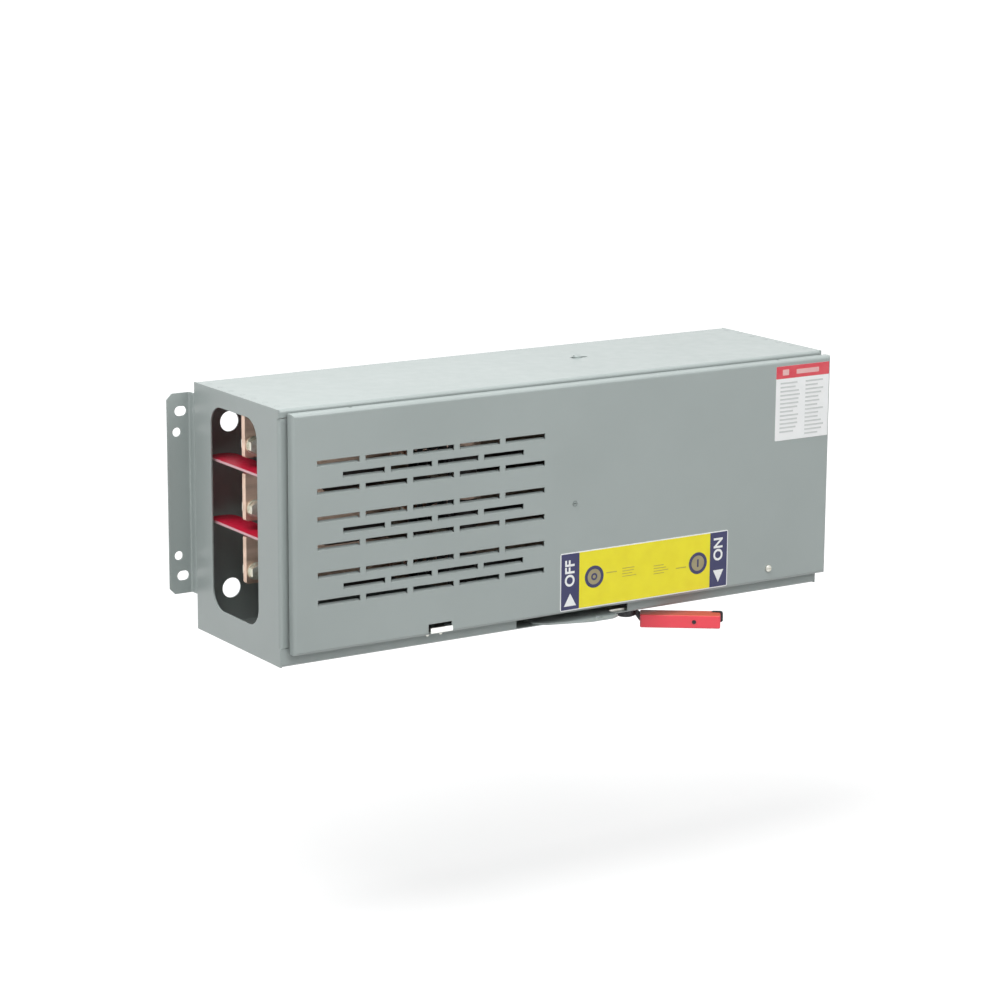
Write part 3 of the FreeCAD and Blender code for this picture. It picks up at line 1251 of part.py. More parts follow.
def grip_rivet():
    """Cross rivet that keeps the grip on the lever."""
    x = HANDLE_X + GRIP_RIVET_AT
    z = grip_rivet_z()
    front = HANDLE_Y - GRIP_WIDE / 2
    shank = disc("xz", x, z, GRIP_RIVET_R - FIT, front, GRIP_WIDE)
    heads = [disc("xz", x, z, GRIP_RIVET_R + 1, front - 0.6, 0.6),
             disc("xz", x, z, GRIP_RIVET_R + 1, front + GRIP_WIDE, 0.6)]
    return handle_turned(joined([shank] + heads))


# ---- saving ----
def save(name, shape):
    """Moves a piece into the row frame and writes it."""
    placed = shape.translated(ROW_ORIGIN * -1)
    if not placed.isValid():
        raise ValueError(name + " is not a valid shape")
    placed.exportStep("parts/" + name + ".step")


def main():
    os.makedirs("parts", exist_ok=True)
    save("enclosure_wrap", enclosure_wrap())
    left_wall = end_wall()
    save("left_end_wall", left_wall)
    save("right_end_wall", to_load_end(left_wall))
    left_bracket = mounting_bracket()
    save("mounting_bracket_left", left_bracket)
    save("mounting_bracket_right", to_load_end(left_bracket))
    save("enclosure_rivets", enclosure_rivets())
    save("hinge_brackets", group([hinge_bracket(x) for x in hinge_places()]))
    save("padlock_plate", padlock_plate())
    save("top_bracket", top_bracket())
    save("top_screw", top_screw())
    save("insulating_base", insulating_base())
    save("load_base", load_base())
    save("base_standoffs", base_standoffs())
    save("phase_barrier_lower", phase_barrier(BARRIER_Z[0]))
    save("phase_barrier_upper", phase_barrier(BARRIER_Z[1]))
    for phase, line_z, pole in zip(PHASES, LINE_Z, POLE_Z):
        save("line_strap_" + phase, line_strap(line_z, pole))
        save("line_jaw_" + phase, line_jaw(pole))
        save("hinge_contact_" + phase, hinge_contact(pole))
        save("arc_chute_" + phase, arc_chute(pole))
        save("blade_" + phase, blade(pole))
        save("fuse_" + phase, fuse(pole))
        save("load_lug_" + phase, load_lug(pole))
    save("arc_plates", arc_plates())
    save("line_bolts", line_bolts())
    save("power_bolts", power_bolts())
    save("fuse_blades", fuse_blades())
    save("load_straps", load_straps())
    save("lug_screws", lug_screws())
    save("rotor_shaft", rotor_shaft())
    save("rotor_crank", rotor_crank())
    save("rotor_bearing_lower", rotor_bearing_lower())
    save("rotor_bearing_upper", rotor_bearing_upper())
    save("drive_bar", drive_bar())
    save("guide_posts", guide_posts())
    save("mechanism_frame", mechanism_frame())
    save("handle_bearing", handle_bearing())
    save("handle_shaft", handle_shaft())
    save("handle_lever", handle_lever())
    save("handle_grip", handle_grip())
    save("grip_rivet", grip_rivet())
    save("cover", cover())
    save("hinge_pins", group([hinge_pin(x) for x in hinge_places()]))
    save("cover_latch", cover_latch())
    save("cover_screw", cover_screw())
    save("interlock_release", interlock_release())


main()
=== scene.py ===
# %% [markdown]
# # A fusible disconnect unit in grey enamel
# The unit is a long folded steel box that hangs on a panel. Its cover has rows of louvres over
# the switch, a window in each end lets the cables in, and a red handle swings below it.
# The metalwork is already exact, because it comes from the construction model. What is left is
# the way a real one looks: enamel, plated screws, copper, printed labels and studio light.
# This first cell loads the model and keeps its box, so that the looks can never outgrow it.

# %% Load the metalwork
import json
import math

import bmesh
import bpy
from mathutils import Matrix, Vector


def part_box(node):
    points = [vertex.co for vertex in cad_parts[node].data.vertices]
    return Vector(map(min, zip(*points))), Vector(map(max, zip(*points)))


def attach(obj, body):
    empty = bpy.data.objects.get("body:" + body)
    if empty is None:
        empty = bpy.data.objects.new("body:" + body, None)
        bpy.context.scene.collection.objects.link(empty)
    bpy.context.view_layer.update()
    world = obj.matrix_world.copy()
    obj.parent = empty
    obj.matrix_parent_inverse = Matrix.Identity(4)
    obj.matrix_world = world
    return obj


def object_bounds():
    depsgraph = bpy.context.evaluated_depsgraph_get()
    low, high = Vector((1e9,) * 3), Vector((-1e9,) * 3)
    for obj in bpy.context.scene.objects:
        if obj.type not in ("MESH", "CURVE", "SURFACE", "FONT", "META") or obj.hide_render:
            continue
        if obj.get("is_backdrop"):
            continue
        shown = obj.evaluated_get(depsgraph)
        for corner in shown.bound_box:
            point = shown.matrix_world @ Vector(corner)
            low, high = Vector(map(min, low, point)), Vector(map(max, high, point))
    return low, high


MM = 0.001
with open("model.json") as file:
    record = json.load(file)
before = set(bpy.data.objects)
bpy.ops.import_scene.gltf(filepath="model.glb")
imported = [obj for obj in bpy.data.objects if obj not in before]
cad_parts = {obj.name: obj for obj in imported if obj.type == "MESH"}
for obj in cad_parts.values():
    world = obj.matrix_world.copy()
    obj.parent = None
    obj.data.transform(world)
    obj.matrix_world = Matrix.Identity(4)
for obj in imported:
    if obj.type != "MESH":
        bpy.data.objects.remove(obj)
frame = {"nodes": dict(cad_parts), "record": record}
cad_low, cad_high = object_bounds()
print("pieces of metalwork:", len(frame["nodes"]))
print("overall size in mm:", [round(side / MM) for side in cad_high - cad_low])

# %% [markdown]
# ## The camera
# A product camera stands well back, because a long lens keeps the box's edges nearly parallel.
# A camera could be aimed with a Track To constraint. Here its three axes are worked out from a
# heading, a tilt and a small roll, which says plainly how it stands and leaves nothing live.

# %% Stand the camera
CAMERA_PLACE = Vector((-2.0030, -3.1989, 0.7850))
CAMERA_HEADING = math.radians(32.7145)
CAMERA_TILT = math.radians(12.5430)
CAMERA_ROLL = math.radians(0.3330)
CAMERA_LENS = 108.55
SENSOR_WIDTH = 36.0


def stand_camera():
    """The camera, turned by its heading from +Y, its downward tilt and its roll."""
    ahead = Vector((
        math.sin(CAMERA_HEADING) * math.cos(CAMERA_TILT),
        math.cos(CAMERA_HEADING) * math.cos(CAMERA_TILT),
        -math.sin(CAMERA_TILT),
    ))
    level = ahead.cross(Vector((0, 0, 1))).normalized()
    right = level * math.cos(CAMERA_ROLL) + level.cross(ahead) * math.sin(CAMERA_ROLL)
    turn = Matrix((right, right.cross(ahead), -ahead)).transposed()
    lens = bpy.data.cameras.new("studio_camera")
    lens.lens = CAMERA_LENS
    lens.sensor_width = SENSOR_WIDTH
    camera = bpy.data.objects.new("studio_camera", lens)
    camera.matrix_world = Matrix.Translation(CAMERA_PLACE) @ turn.to_4x4()
    bpy.context.scene.collection.objects.link(camera)
    bpy.context.scene.camera = camera


stand_camera()
bpy.context.scene.view_settings.view_transform = "Standard"
print("camera distance in m:", round(CAMERA_PLACE.length, 2))

# %% [markdown]
# ## A small kit for finishes
# Every finish here is one Principled shader fed by a few textures that live in the object's own
# space. Image textures would need unwrapped surfaces, and these need none. The helpers below
# name the four steps that repeat: start a shader, lay a noise, turn it into a range of numbers
# or colours, and turn it into relief.

# %% Helpers for finishes
def node(tree, kind, **settings):
    """A new node with its settings, such as its mode or its operation."""
    made = tree.nodes.new(kind)
    for name, value in settings.items():
        setattr(made, name, value)
    return made


def wire(tree, *pairs):
    """Links a list of output and input sockets."""
    for source, target in pairs:
        tree.links.new(source, target)


def shade(red, green, blue):
    """A colour picked on a screen scale of 0 to 255, as the linear values that a shader wants."""
    parts = []
    for value in (red, green, blue):
        share = value / 255
        parts.append(share / 12.92 if share <= 0.04045 else ((share + 0.055) / 1.055) ** 2.4)
    return (*parts, 1.0)


def start_finish(name, colour, roughness, metallic=0.0):
    """A new material with its Principled shader set to plain values."""
    material = bpy.data.materials.new(name)
    material.use_nodes = True
    tree = material.node_tree
    shader = tree.nodes["Principled BSDF"]
    shader.inputs["Base Color"].default_value = colour
    shader.inputs["Roughness"].default_value = roughness
    shader.inputs["Metallic"].default_value = metallic
    return material, tree, shader


def lay_noise(tree, scale, detail=3.0, stretch=(1, 1, 1)):
    """Noise in the object's own space: waves per metre, squeezed along the axes by stretch."""
    place = tree.nodes.new("ShaderNodeTexCoord")
    squeeze = tree.nodes.new("ShaderNodeMapping")
    squeeze.inputs["Scale"].default_value = stretch
    noise = tree.nodes.new("ShaderNodeTexNoise")
    noise.inputs["Scale"].default_value = scale
    noise.inputs["Detail"].default_value = detail
    tree.links.new(place.outputs["Object"], squeeze.inputs["Vector"])
    tree.links.new(squeeze.outputs["Vector"], noise.inputs["Vector"])
    return noise.outputs["Fac"]


def spread(tree, source, low, high, start=0.3, end=0.7):
    """Turns the start-to-end part of a texture into the numbers from low to high."""
    remap = tree.nodes.new("ShaderNodeMapRange")
    remap.inputs["From Min"].default_value = start
    remap.inputs["From Max"].default_value = end
    remap.inputs["To Min"].default_value = low
    remap.inputs["To Max"].default_value = high
    tree.links.new(source, remap.inputs["Value"])
    return remap.outputs["Result"]


def blend_colours(tree, share, first, second):
    """One colour turning into another as the share goes from 0 to 1."""
    mix = tree.nodes.new("ShaderNodeMix")
    mix.data_type = "RGBA"
    tree.links.new(share, mix.inputs["Factor"])
    for socket, value in ((mix.inputs[6], first), (mix.inputs[7], second)):
        if isinstance(value, tuple):
            socket.default_value = value
        else:
            tree.links.new(value, socket)
    return mix.outputs[2]


def relief(tree, shader, height, depth, edge=0.0):
    """Bump of a depth in metres; an edge radius also softens the corners of folded sheet."""
    bump = tree.nodes.new("ShaderNodeBump")
    bump.inputs["Distance"].default_value = depth
    tree.links.new(height, bump.inputs["Height"])
    if edge > 0:
        corner = tree.nodes.new("ShaderNodeBevel")
        corner.samples = 4
        corner.inputs["Radius"].default_value = edge
        tree.links.new(corner.outputs["Normal"], bump.inputs["Normal"])
    tree.links.new(bump.outputs["Normal"], shader.inputs["Normal"])


# %% [markdown]
# ## Grey enamel
# The box and the cover are sheet steel with a baked satin enamel. Sprayed enamel is never quite
# flat: it has a fine orange peel, and its gloss drifts a little over a long panel. A clear coat
# layer would look like car paint, so the satin comes from the base layer alone. Cut edges and
# folds wear first, so a soft radius there catches the light as a real bend does.

# %% The enamel
ENAMEL = shade(165, 174, 172)
ENAMEL_DUSTY = shade(160, 169, 167)
ENAMEL_GLOSS = (0.28, 0.36)
DRIFT_SCALE = 7
GLOSS_SCALE = 60
PEEL_SCALE = 900
PEEL_DEPTH = 0.000012
FOLD_RADIUS = 0.0007


def enamel_finish(name, colour, dusty):
    """Satin baked enamel on sheet steel."""
    material, tree, shader = start_finish(name, colour, ENAMEL_GLOSS[0])
    drift = lay_noise(tree, DRIFT_SCALE, 4)
    tint = blend_colours(tree, spread(tree, drift, 0, 1), colour, dusty)
    tree.links.new(tint, shader.inputs["Base Color"])
    gloss = spread(tree, lay_noise(tree, GLOSS_SCALE, 5), *ENAMEL_GLOSS)
    tree.links.new(gloss, shader.inputs["Roughness"])
    relief(tree, shader, lay_noise(tree, PEEL_SCALE, 2), PEEL_DEPTH, FOLD_RADIUS)
    return material


enamel = enamel_finish("grey_enamel", ENAMEL, ENAMEL_DUSTY)
print("enamel:", enamel.name)

# %% [markdown]
# ## Plated, forged and bare metal
# Screws, guides and shafts are zinc plated. Zinc reflects like steel, and its tint drifts a little
# where the plating is thicker. The lever is phosphated almost black. Copper bars and aluminium
# lugs are rolled or extruded, so their streaks and scratches run along the bar: the noise is
# stretched along X for that. Each metal is one call with two tints, its gloss and the scale of
# the drift.

# %% Metals
SCRATCH_SCALE = 2200
SCRATCH_DEPTH = 0.00002
METAL_EDGE = 0.0003
EVENLY = (1, 1, 1)
ALONG_X = (0.02, 1, 1)


def metal_finish(name, bright, dull, gloss, scale, stretch=EVENLY):
    """Metal whose tint and polish drift, with scratches along a direction."""
    material, tree, shader = start_finish(name, bright, gloss[0], 1.0)
    cloud = lay_noise(tree, scale, 4, stretch)
    tint = blend_colours(tree, spread(tree, cloud, 0, 1), bright, dull)
    tree.links.new(tint, shader.inputs["Base Color"])
    scratch = lay_noise(tree, SCRATCH_SCALE, 2, stretch)
    tree.links.new(spread(tree, scratch, *gloss), shader.inputs["Roughness"])
    relief(tree, shader, scratch, SCRATCH_DEPTH, METAL_EDGE)
    return material


zinc = metal_finish("zinc_plate", shade(214, 214, 208), shade(190, 188, 176), (0.26, 0.42), 160)
pale_zinc = metal_finish("pale_zinc_plate", shade(236, 238, 228), shade(214, 212, 196),
                         (0.3, 0.5), 220)
bright_zinc = metal_finish("bright_zinc_plate", shade(246, 247, 244), shade(230, 231, 226),
                           (0.3, 0.4), 160)
# Painted shade: this darker, duller steel on the interlock release stands in for the shade in the hole
# it sits in.
dull_steel_painted_shade = metal_finish("dull_steel_painted_shade", shade(142, 150, 148), shade(124, 132, 130), (0.5, 0.65), 160)
black_steel = metal_finish("phosphated_steel", shade(74, 74, 76), shade(48, 48, 50), (0.42, 0.6), 200)
brass = metal_finish("turned_brass", shade(206, 178, 108), shade(176, 146, 84), (0.24, 0.4), 120)
copper = metal_finish("tinned_copper", shade(236, 208, 190), shade(204, 178, 160),
                      (0.34, 0.5), 90, ALONG_X)
aluminium = metal_finish("extruded_aluminium", shade(214, 216, 220), shade(190, 192, 198),
                         (0.3, 0.44), 90, ALONG_X)
print("finishes so far:", [material.name for material in bpy.data.materials])

# %% [markdown]
# ## Moulded and pressed insulation
# The bases and the rotor shaft are dark thermoset, which has a dry sheen and pale specks of
# filler. The barriers are a hard red sheet, and the sides of the arc chutes are grey-brown fibre.
# One function serves all of them, because what differs is only the two colours, the size of the
# speckle and the gloss. Two marks of light are then painted on. The upright edges of the red
# sheet are painted paler pink, a painted highlight for the light that the near edge catches. The
# top of the grip is painted darker and browner than its sides, a painted shade with a painted
# reflection of the yellow label above it. Both follow from how far up a face points, so a second
# function reads the direction of the face and blends another colour in.

# %% Insulation
MOULD_GLOSS_SCALE = 140
MOULD_GRAIN_SCALE = 1500
MOULD_GRAIN_DEPTH = 0.00003
MOULD_EDGE = 0.0004


def moulded_finish(name, colour, speck, gloss, scale, share=(0.55, 0.8), depth=MOULD_GRAIN_DEPTH):
    """Moulded or pressed insulation with specks of filler and a fine matt relief."""
    material, tree, shader = start_finish(name, colour, gloss[0])
    grain = lay_noise(tree, scale, 5)
    tint = blend_colours(tree, spread(tree, grain, 0, 1, *share), colour, speck)
    tree.links.new(tint, shader.inputs["Base Color"])
    polish = spread(tree, lay_noise(tree, MOULD_GLOSS_SCALE, 3), *gloss)
    tree.links.new(polish, shader.inputs["Roughness"])
    relief(tree, shader, lay_noise(tree, MOULD_GRAIN_SCALE, 2), depth, MOULD_EDGE)
    return material


def tint_faces(material, colour, start, end, underside=False):
    """Blends a colour in as the upward part of a face's direction goes from start to end.

    That part is 1 on a level face and 0 on an upright one. A face that looks down counts as an
    upright one, or with underside as one that looks up.
    """
    tree = material.node_tree
    shader = tree.nodes["Principled BSDF"]
    base = shader.inputs["Base Color"].links[0].from_socket
    facing = tree.nodes.new("ShaderNodeNewGeometry")
    parts = tree.nodes.new("ShaderNodeSeparateXYZ")
    upward = node(tree, "ShaderNodeMath", operation="ABSOLUTE" if underside else "MAXIMUM")
    upward.inputs[1].default_value = 0
    wire(tree, (facing.outputs["Normal"], parts.inputs[0]), (parts.outputs["Z"], upward.inputs[0]))
    share = spread(tree, upward.outputs[0], 0, 1, start, end)
    tree.links.new(blend_colours(tree, share, base, colour), shader.inputs["Base Color"])


thermoset = moulded_finish("dark_thermoset", shade(58, 50, 48), shade(96, 86, 80),
                           (0.35, 0.5), 1200)
red_sheet = moulded_finish("red_fibre_sheet", shade(192, 20, 54), shade(206, 46, 78),
                           (0.28, 0.4), 420)
fibre = moulded_finish("pressed_fibre", shade(150, 138, 122), shade(118, 106, 92), (0.7, 0.85), 700)
fuse_tube = moulded_finish("fuse_tube", shade(176, 172, 150), shade(150, 146, 124),
                           (0.35, 0.5), 300)
grip_red = moulded_finish("red_grip", shade(246, 78, 92), shade(238, 90, 92), (0.3, 0.42), 260)
# Painted highlight: the upright edges of the red sheet are painted pale pink for the light that the near
# edge catches.
tint_faces(red_sheet, shade(226, 180, 186), 0.8, 0.3, underside=True)
# Painted shade and painted reflection: the top of the grip is painted darker and browner, for the shade
# on it and the yellow label reflected in it.
tint_faces(grip_red, shade(202, 90, 64), 0.4, 0.9)
print("finishes in all:", len(bpy.data.materials))

# %% [markdown]
# ## Dressing the metalwork
# The record of the model says which material slot each piece has, so most pieces are dressed by
# slot. A few differ from their slot, such as the brighter bolts of the cable terminals, and a
# short list of exceptions is easier to read than a second set of slots.

# %% Dress every piece
FINISH_OF_SLOT = {
    "painted_sheet": enamel,
    "zinc_plated": zinc,
    "dark_steel": black_steel,
    "brass": brass,
    "insulator": thermoset,
    "fibre": fibre,
    "red_sheet": red_sheet,
    "copper": copper,
    "aluminium": aluminium,
    "fuse_body": fuse_tube,
    "red_grip": grip_red,
}
EXCEPTIONS = {
    "line_bolts": pale_zinc,
    "cover_latch": bright_zinc,
    "top_screw": enamel,
    # The interlock release takes the darker steel that paints the shade of its hole.
    "interlock_release": dull_steel_painted_shade,
    "grip_rivet": black_steel,
    "handle_shaft": black_steel,
    "handle_bearing": black_steel,
}


def dress_metalwork():
    """Gives each piece of the model the finish of its slot or of the list of exceptions."""
    for part in frame["record"]["subparts"]:
        finish = EXCEPTIONS.get(part["node"], FINISH_OF_SLOT[part["material_slot"]])
        coats = frame["nodes"][part["node"]].data.materials
        coats.clear()
        coats.append(finish)


dress_metalwork()

# %% [markdown]
# ## Making thin flat pieces
# Labels are thin films, and everything printed on them is thinner still. A plane would have no
# edge to catch the light and no volume in a mesh file, so each patch is a closed slip of real
# thickness. The outline is a list of corners, rounded by arcs where asked. Places are given in
# millimetres from the lower left corner of the cover's face, which the model supplies.

# %% Helpers for thin pieces
cover_low, cover_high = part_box("cover")
COVER_FACE = cover_low.y
COVER_WIDE = (cover_high.x - cover_low.x) / MM
FILM = 0.25
PRINT = 0.08


def on_cover(across, up, proud=0.0):
    """A point on the cover's face: millimetres from its lower left corner, and in front of it."""
    return Vector((cover_low.x + across * MM, COVER_FACE - proud * MM, cover_low.z + up * MM))


def rounded(left, right, low, high, radius, steps=5):
    """Corners of a rectangle with round corners, anticlockwise as seen from the front."""
    points = []
    centres = ((right - radius, low + radius, -90), (right - radius, high - radius, 0),
               (left + radius, high - radius, 90), (left + radius, low + radius, 180))
    for across, up, first in centres:
        for step in range(steps + 1):
            angle = math.radians(first + 90 * step / steps)
            points.append((across + radius * math.cos(angle), up + radius * math.sin(angle)))
    return points


def round_outline(across, up, radius, steps=40):
    """Corners of a circle."""
    turns = [2 * math.pi * step / steps for step in range(steps)]
    return [(across + radius * math.cos(turn), up + radius * math.sin(turn)) for turn in turns]


def add_piece(name, mesh, body, finish):
    """Puts a finished mesh into the scene, gives it its finish and lets it ride on a body."""
    piece = bpy.data.objects.new(name, mesh)
    bpy.context.scene.collection.objects.link(piece)
    if finish is not None:
        piece.data.materials.clear()
        piece.data.materials.append(finish)
    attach(piece, body)
    return piece


def slips(name, outlines, back, thick, finish):
    """Closed flat slips on the cover; an outline may be (outer, inner) to make a ring."""
    shape = bmesh.new()
    for outline in outlines:
        outer, inner = outline if isinstance(outline, tuple) else (outline, None)
        rims = []
        for proud in (back, back + thick):
            rims.append([shape.verts.new(on_cover(a, u, proud)) for a, u in outer])
        count = len(outer)
        for i in range(count):
            j = (i + 1) % count
            shape.faces.new((rims[0][i], rims[0][j], rims[1][j], rims[1][i]))
        if inner is None:
            shape.faces.new(rims[1])
            shape.faces.new(rims[0][::-1])
            continue
        holes = []
        for proud in (back, back + thick):
            holes.append([shape.verts.new(on_cover(a, u, proud)) for a, u in inner])
        for i in range(count):
            j = (i + 1) % count
            shape.faces.new((holes[1][i], holes[1][j], holes[0][j], holes[0][i]))
            shape.faces.new((rims[1][i], rims[1][j], holes[1][j], holes[1][i]))
            shape.faces.new((rims[0][j], rims[0][i], holes[0][i], holes[0][j]))
    bmesh.ops.recalc_face_normals(shape, faces=shape.faces)
    mesh = bpy.data.meshes.new(name)
    shape.to_mesh(mesh)
    shape.free()
    return add_piece(name, mesh, "cover", finish)


# %% [markdown]
# ## Label inks and films
# A printed label is a white film under flat inks, with a slight gloss and the faint unevenness
# of screen printing. The inks on a real label fade in soft patches, which a slow noise between
# two tints imitates well enough.

# %% Inks
INK_PATCH_SCALE = 55
INK_RELIEF = 0.000008


def ink_finish(name, colour, faded, gloss=(0.3, 0.42)):
    """Screen printed ink or bare label film."""
    return moulded_finish(name, colour, faded, gloss, INK_PATCH_SCALE, (0.35, 0.75), INK_RELIEF)


film_white = ink_finish("label_film", shade(248, 249, 249), shade(243, 245, 245))
ink_yellow = ink_finish("yellow_ink", shade(246, 234, 40), shade(240, 226, 36))
ink_navy = ink_finish("navy_ink", shade(46, 48, 92), shade(54, 54, 98))
ink_red = ink_finish("red_ink", shade(218, 70, 84), shade(226, 92, 100))
ink_pink = ink_finish("faded_red_ink", shade(236, 190, 188), shade(232, 176, 176))
ink_grey = ink_finish("grey_ink", shade(206, 210, 209), shade(214, 217, 216))
ink_brown = ink_finish("brown_ink", shade(196, 180, 66), shade(206, 192, 66))
ink_tan = ink_finish("tan_ink", shade(164, 154, 118), shade(150, 140, 104))
print("white film and inks are mixed")

# %% [markdown]
# ## The position label
# A wide yellow label on the lower part of the cover shows which way the handle swings. Its two
# navy ends carry the words OFF and ON, each with an arrowhead, and between them stand two plain
# rings with the usual circle and bar for off and on, on a tan ground. Words are text objects
# turned into meshes, so that the exported shape holds them too.

# %% Label plates
LABEL_LEFT = 369.0
LABEL_RIGHT = 623.0
LABEL_LOW = 3.2
LABEL_HIGH = 76.0
LABEL_BORDER = 1.3
NAVY_WIDE = 26.5
RING_R = 14.0
RING_BAND = 4.2
OFF_CIRCLE_R = 4.6
OFF_CIRCLE_HOLE_R = 2.2
ON_BAR_HALF = (1.3, 5.0)
ARROW_HALVES = (9.0, 8.0)
ARROW_LOWS = (9.0, 10.0)
ARROW_TALL = 16.0
WORD_TALL = 19
NAVY_MIDDLES = (LABEL_LEFT + LABEL_BORDER + NAVY_WIDE / 2,
                LABEL_RIGHT - LABEL_BORDER - NAVY_WIDE / 2)
LEFT_RING = (LABEL_LEFT + 50.0, 41.5)
RIGHT_RING = (LABEL_RIGHT - 46.5, 38.5)


def label_plates():
    """White film, yellow field and navy ends of the position label."""
    inner_left = LABEL_LEFT + LABEL_BORDER
    inner_right = LABEL_RIGHT - LABEL_BORDER
    low = LABEL_LOW + LABEL_BORDER
    high = LABEL_HIGH - LABEL_BORDER
    slips("position_label_film", [rounded(LABEL_LEFT, LABEL_RIGHT, LABEL_LOW, LABEL_HIGH, 2.5)],
          0, FILM, film_white)
    field = rounded(inner_left + NAVY_WIDE, inner_right - NAVY_WIDE, low, high, 0.4)
    slips("position_label_field", [field], FILM, PRINT, ink_yellow)
    ends = [rounded(inner_left, inner_left + NAVY_WIDE, low, high, 0.4),
            rounded(inner_right - NAVY_WIDE, inner_right, low, high, 0.4)]
    slips("position_label_ends", ends, FILM, PRINT, ink_navy)


def label_symbols():
    """Rings with a circle or a bar on a tan ground, and the arrowheads of the ends."""
    on_film = FILM + PRINT
    rings = []
    for across, up in (LEFT_RING, RIGHT_RING):
        rings.append((round_outline(across, up, RING_R),
                      round_outline(across, up, RING_R - RING_BAND)))
    rings.append((round_outline(*LEFT_RING, OFF_CIRCLE_R),
                  round_outline(*LEFT_RING, OFF_CIRCLE_HOLE_R)))
    across, up = RIGHT_RING
    wide, tall = ON_BAR_HALF
    rings.append(rounded(across - wide, across + wide, up - tall, up + tall, 0.5))
    slips("position_rings", rings, on_film, PRINT, ink_navy)
    fields = [round_outline(*centre, RING_R - RING_BAND) for centre in (LEFT_RING, RIGHT_RING)]
    slips("position_fields", fields, FILM + PRINT / 2, PRINT, ink_tan)
    left, right = NAVY_MIDDLES
    left_half, right_half = ARROW_HALVES
    left_low, right_low = ARROW_LOWS
    left_high, right_high = left_low + ARROW_TALL, right_low + ARROW_TALL
    arrows = [[(left - left_half, left_low), (left + left_half, left_low), (left, left_high)],
              [(right + right_half, right_high), (right - right_half, right_high), (right, right_low)]]
    slips("position_arrows", arrows, on_film, PRINT, film_white)


def label_word(name, word, across, up, tall):
    """A word that reads upwards, made a mesh before it is put in its place."""
    letters = bpy.data.curves.new(name, "FONT")
    letters.body = word
    letters.size = tall * MM
    letters.align_x = "CENTER"
    letters.align_y = "CENTER"
    letters.extrude = PRINT * MM / 2
    letters.offset = 0.5 * MM
    carrier = bpy.data.objects.new(name, letters)
    bpy.context.scene.collection.objects.link(carrier)
    seen = carrier.evaluated_get(bpy.context.evaluated_depsgraph_get())
    mesh = bpy.data.meshes.new_from_object(seen)
    bpy.data.objects.remove(carrier)
    place = on_cover(across, up, FILM + 1.5 * PRINT)
    upright = Matrix.Rotation(math.radians(90), 4, "X") @ Matrix.Rotation(math.radians(90), 4, "Z")
    mesh.transform(Matrix.Translation(place) @ upright)
    add_piece(name, mesh, "cover", film_white)


label_plates()
label_symbols()
label_word("word_off", "OFF", NAVY_MIDDLES[0], 50, WORD_TALL)
label_word("word_on", "ON", NAVY_MIDDLES[1], 53, WORD_TALL)
print("position label in mm:", LABEL_RIGHT - LABEL_LEFT, "by", round(LABEL_HIGH - LABEL_LOW, 1))

# %% [markdown]
# ## Printed rules by Geometry Nodes
# Both labels carry faint rows of print. Nothing legible belongs there, so the rows are plain
# rules of uneven length. Placing them by hand would take dozens of numbers. A node tree needs
# only the size of the block, the pitch of the rows and a seed, and gives every block its rows.

# %% The tree that prints rules
def named_inputs(tree, inputs):
    """Adds named number inputs to a node tree and gives back their identifiers."""
    found = {}
    for name, (kind, value) in inputs.items():
        socket = tree.interface.new_socket(name, in_out="INPUT", socket_type=kind)
        socket.default_value = value
        found[name] = socket.identifier
    return found


def rules_tree(name, finish):
    """Rows of thin bars below each other, each with its own length."""
    tree = bpy.data.node_groups.new(name, "GeometryNodeTree")
    ids = named_inputs(tree, {
        "Rows": ("NodeSocketInt", 6),
        "Pitch": ("NodeSocketFloat", 4 * MM),
        "Longest": ("NodeSocketFloat", 30 * MM),
        "Shortest": ("NodeSocketFloat", 15 * MM),
        "Height": ("NodeSocketFloat", 1 * MM),
        "Seed": ("NodeSocketInt", 1),
    })
    tree.interface.new_socket("Geometry", in_out="OUTPUT", socket_type="NodeSocketGeometry")
    entry = node(tree, "NodeGroupInput")
    result = node(tree, "NodeGroupOutput")
    step = node(tree, "ShaderNodeCombineXYZ")
    down = node(tree, "ShaderNodeMath", operation="MULTIPLY")
    down.inputs[1].default_value = -1
    rows = node(tree, "GeometryNodeMeshLine", mode="OFFSET")
    bar = node(tree, "GeometryNodeMeshCube")
    bar.inputs["Size"].default_value = (1, PRINT * MM, 1)
    shift = node(tree, "GeometryNodeTransform")
    shift.inputs["Translation"].default_value = (0.5, 0, 0)
    length = node(tree, "FunctionNodeRandomValue", data_type="FLOAT")
    size = node(tree, "ShaderNodeCombineXYZ")
    size.inputs["Y"].default_value = 1
    copies = node(tree, "GeometryNodeInstanceOnPoints")
    solid = node(tree, "GeometryNodeRealizeInstances")
    coat = node(tree, "GeometryNodeSetMaterial")
    coat.inputs["Material"].default_value = finish
    wire(tree,
         (entry.outputs["Pitch"], down.inputs[0]),
         (down.outputs[0], step.inputs["Z"]),
         (entry.outputs["Rows"], rows.inputs["Count"]),
         (step.outputs[0], rows.inputs["Offset"]),
         (bar.outputs["Mesh"], shift.inputs["Geometry"]),
         (entry.outputs["Shortest"], length.inputs[2]),
         (entry.outputs["Longest"], length.inputs[3]),
         (entry.outputs["Seed"], length.inputs["Seed"]),
         (length.outputs[1], size.inputs["X"]),
         (entry.outputs["Height"], size.inputs["Z"]),
         (rows.outputs["Mesh"], copies.inputs["Points"]),
         (shift.outputs["Geometry"], copies.inputs["Instance"]),
         (size.outputs[0], copies.inputs["Scale"]),
         (copies.outputs["Instances"], solid.inputs["Geometry"]),
         (solid.outputs["Geometry"], coat.inputs["Geometry"]),
         (coat.outputs["Geometry"], result.inputs["Geometry"]))
    return tree, ids


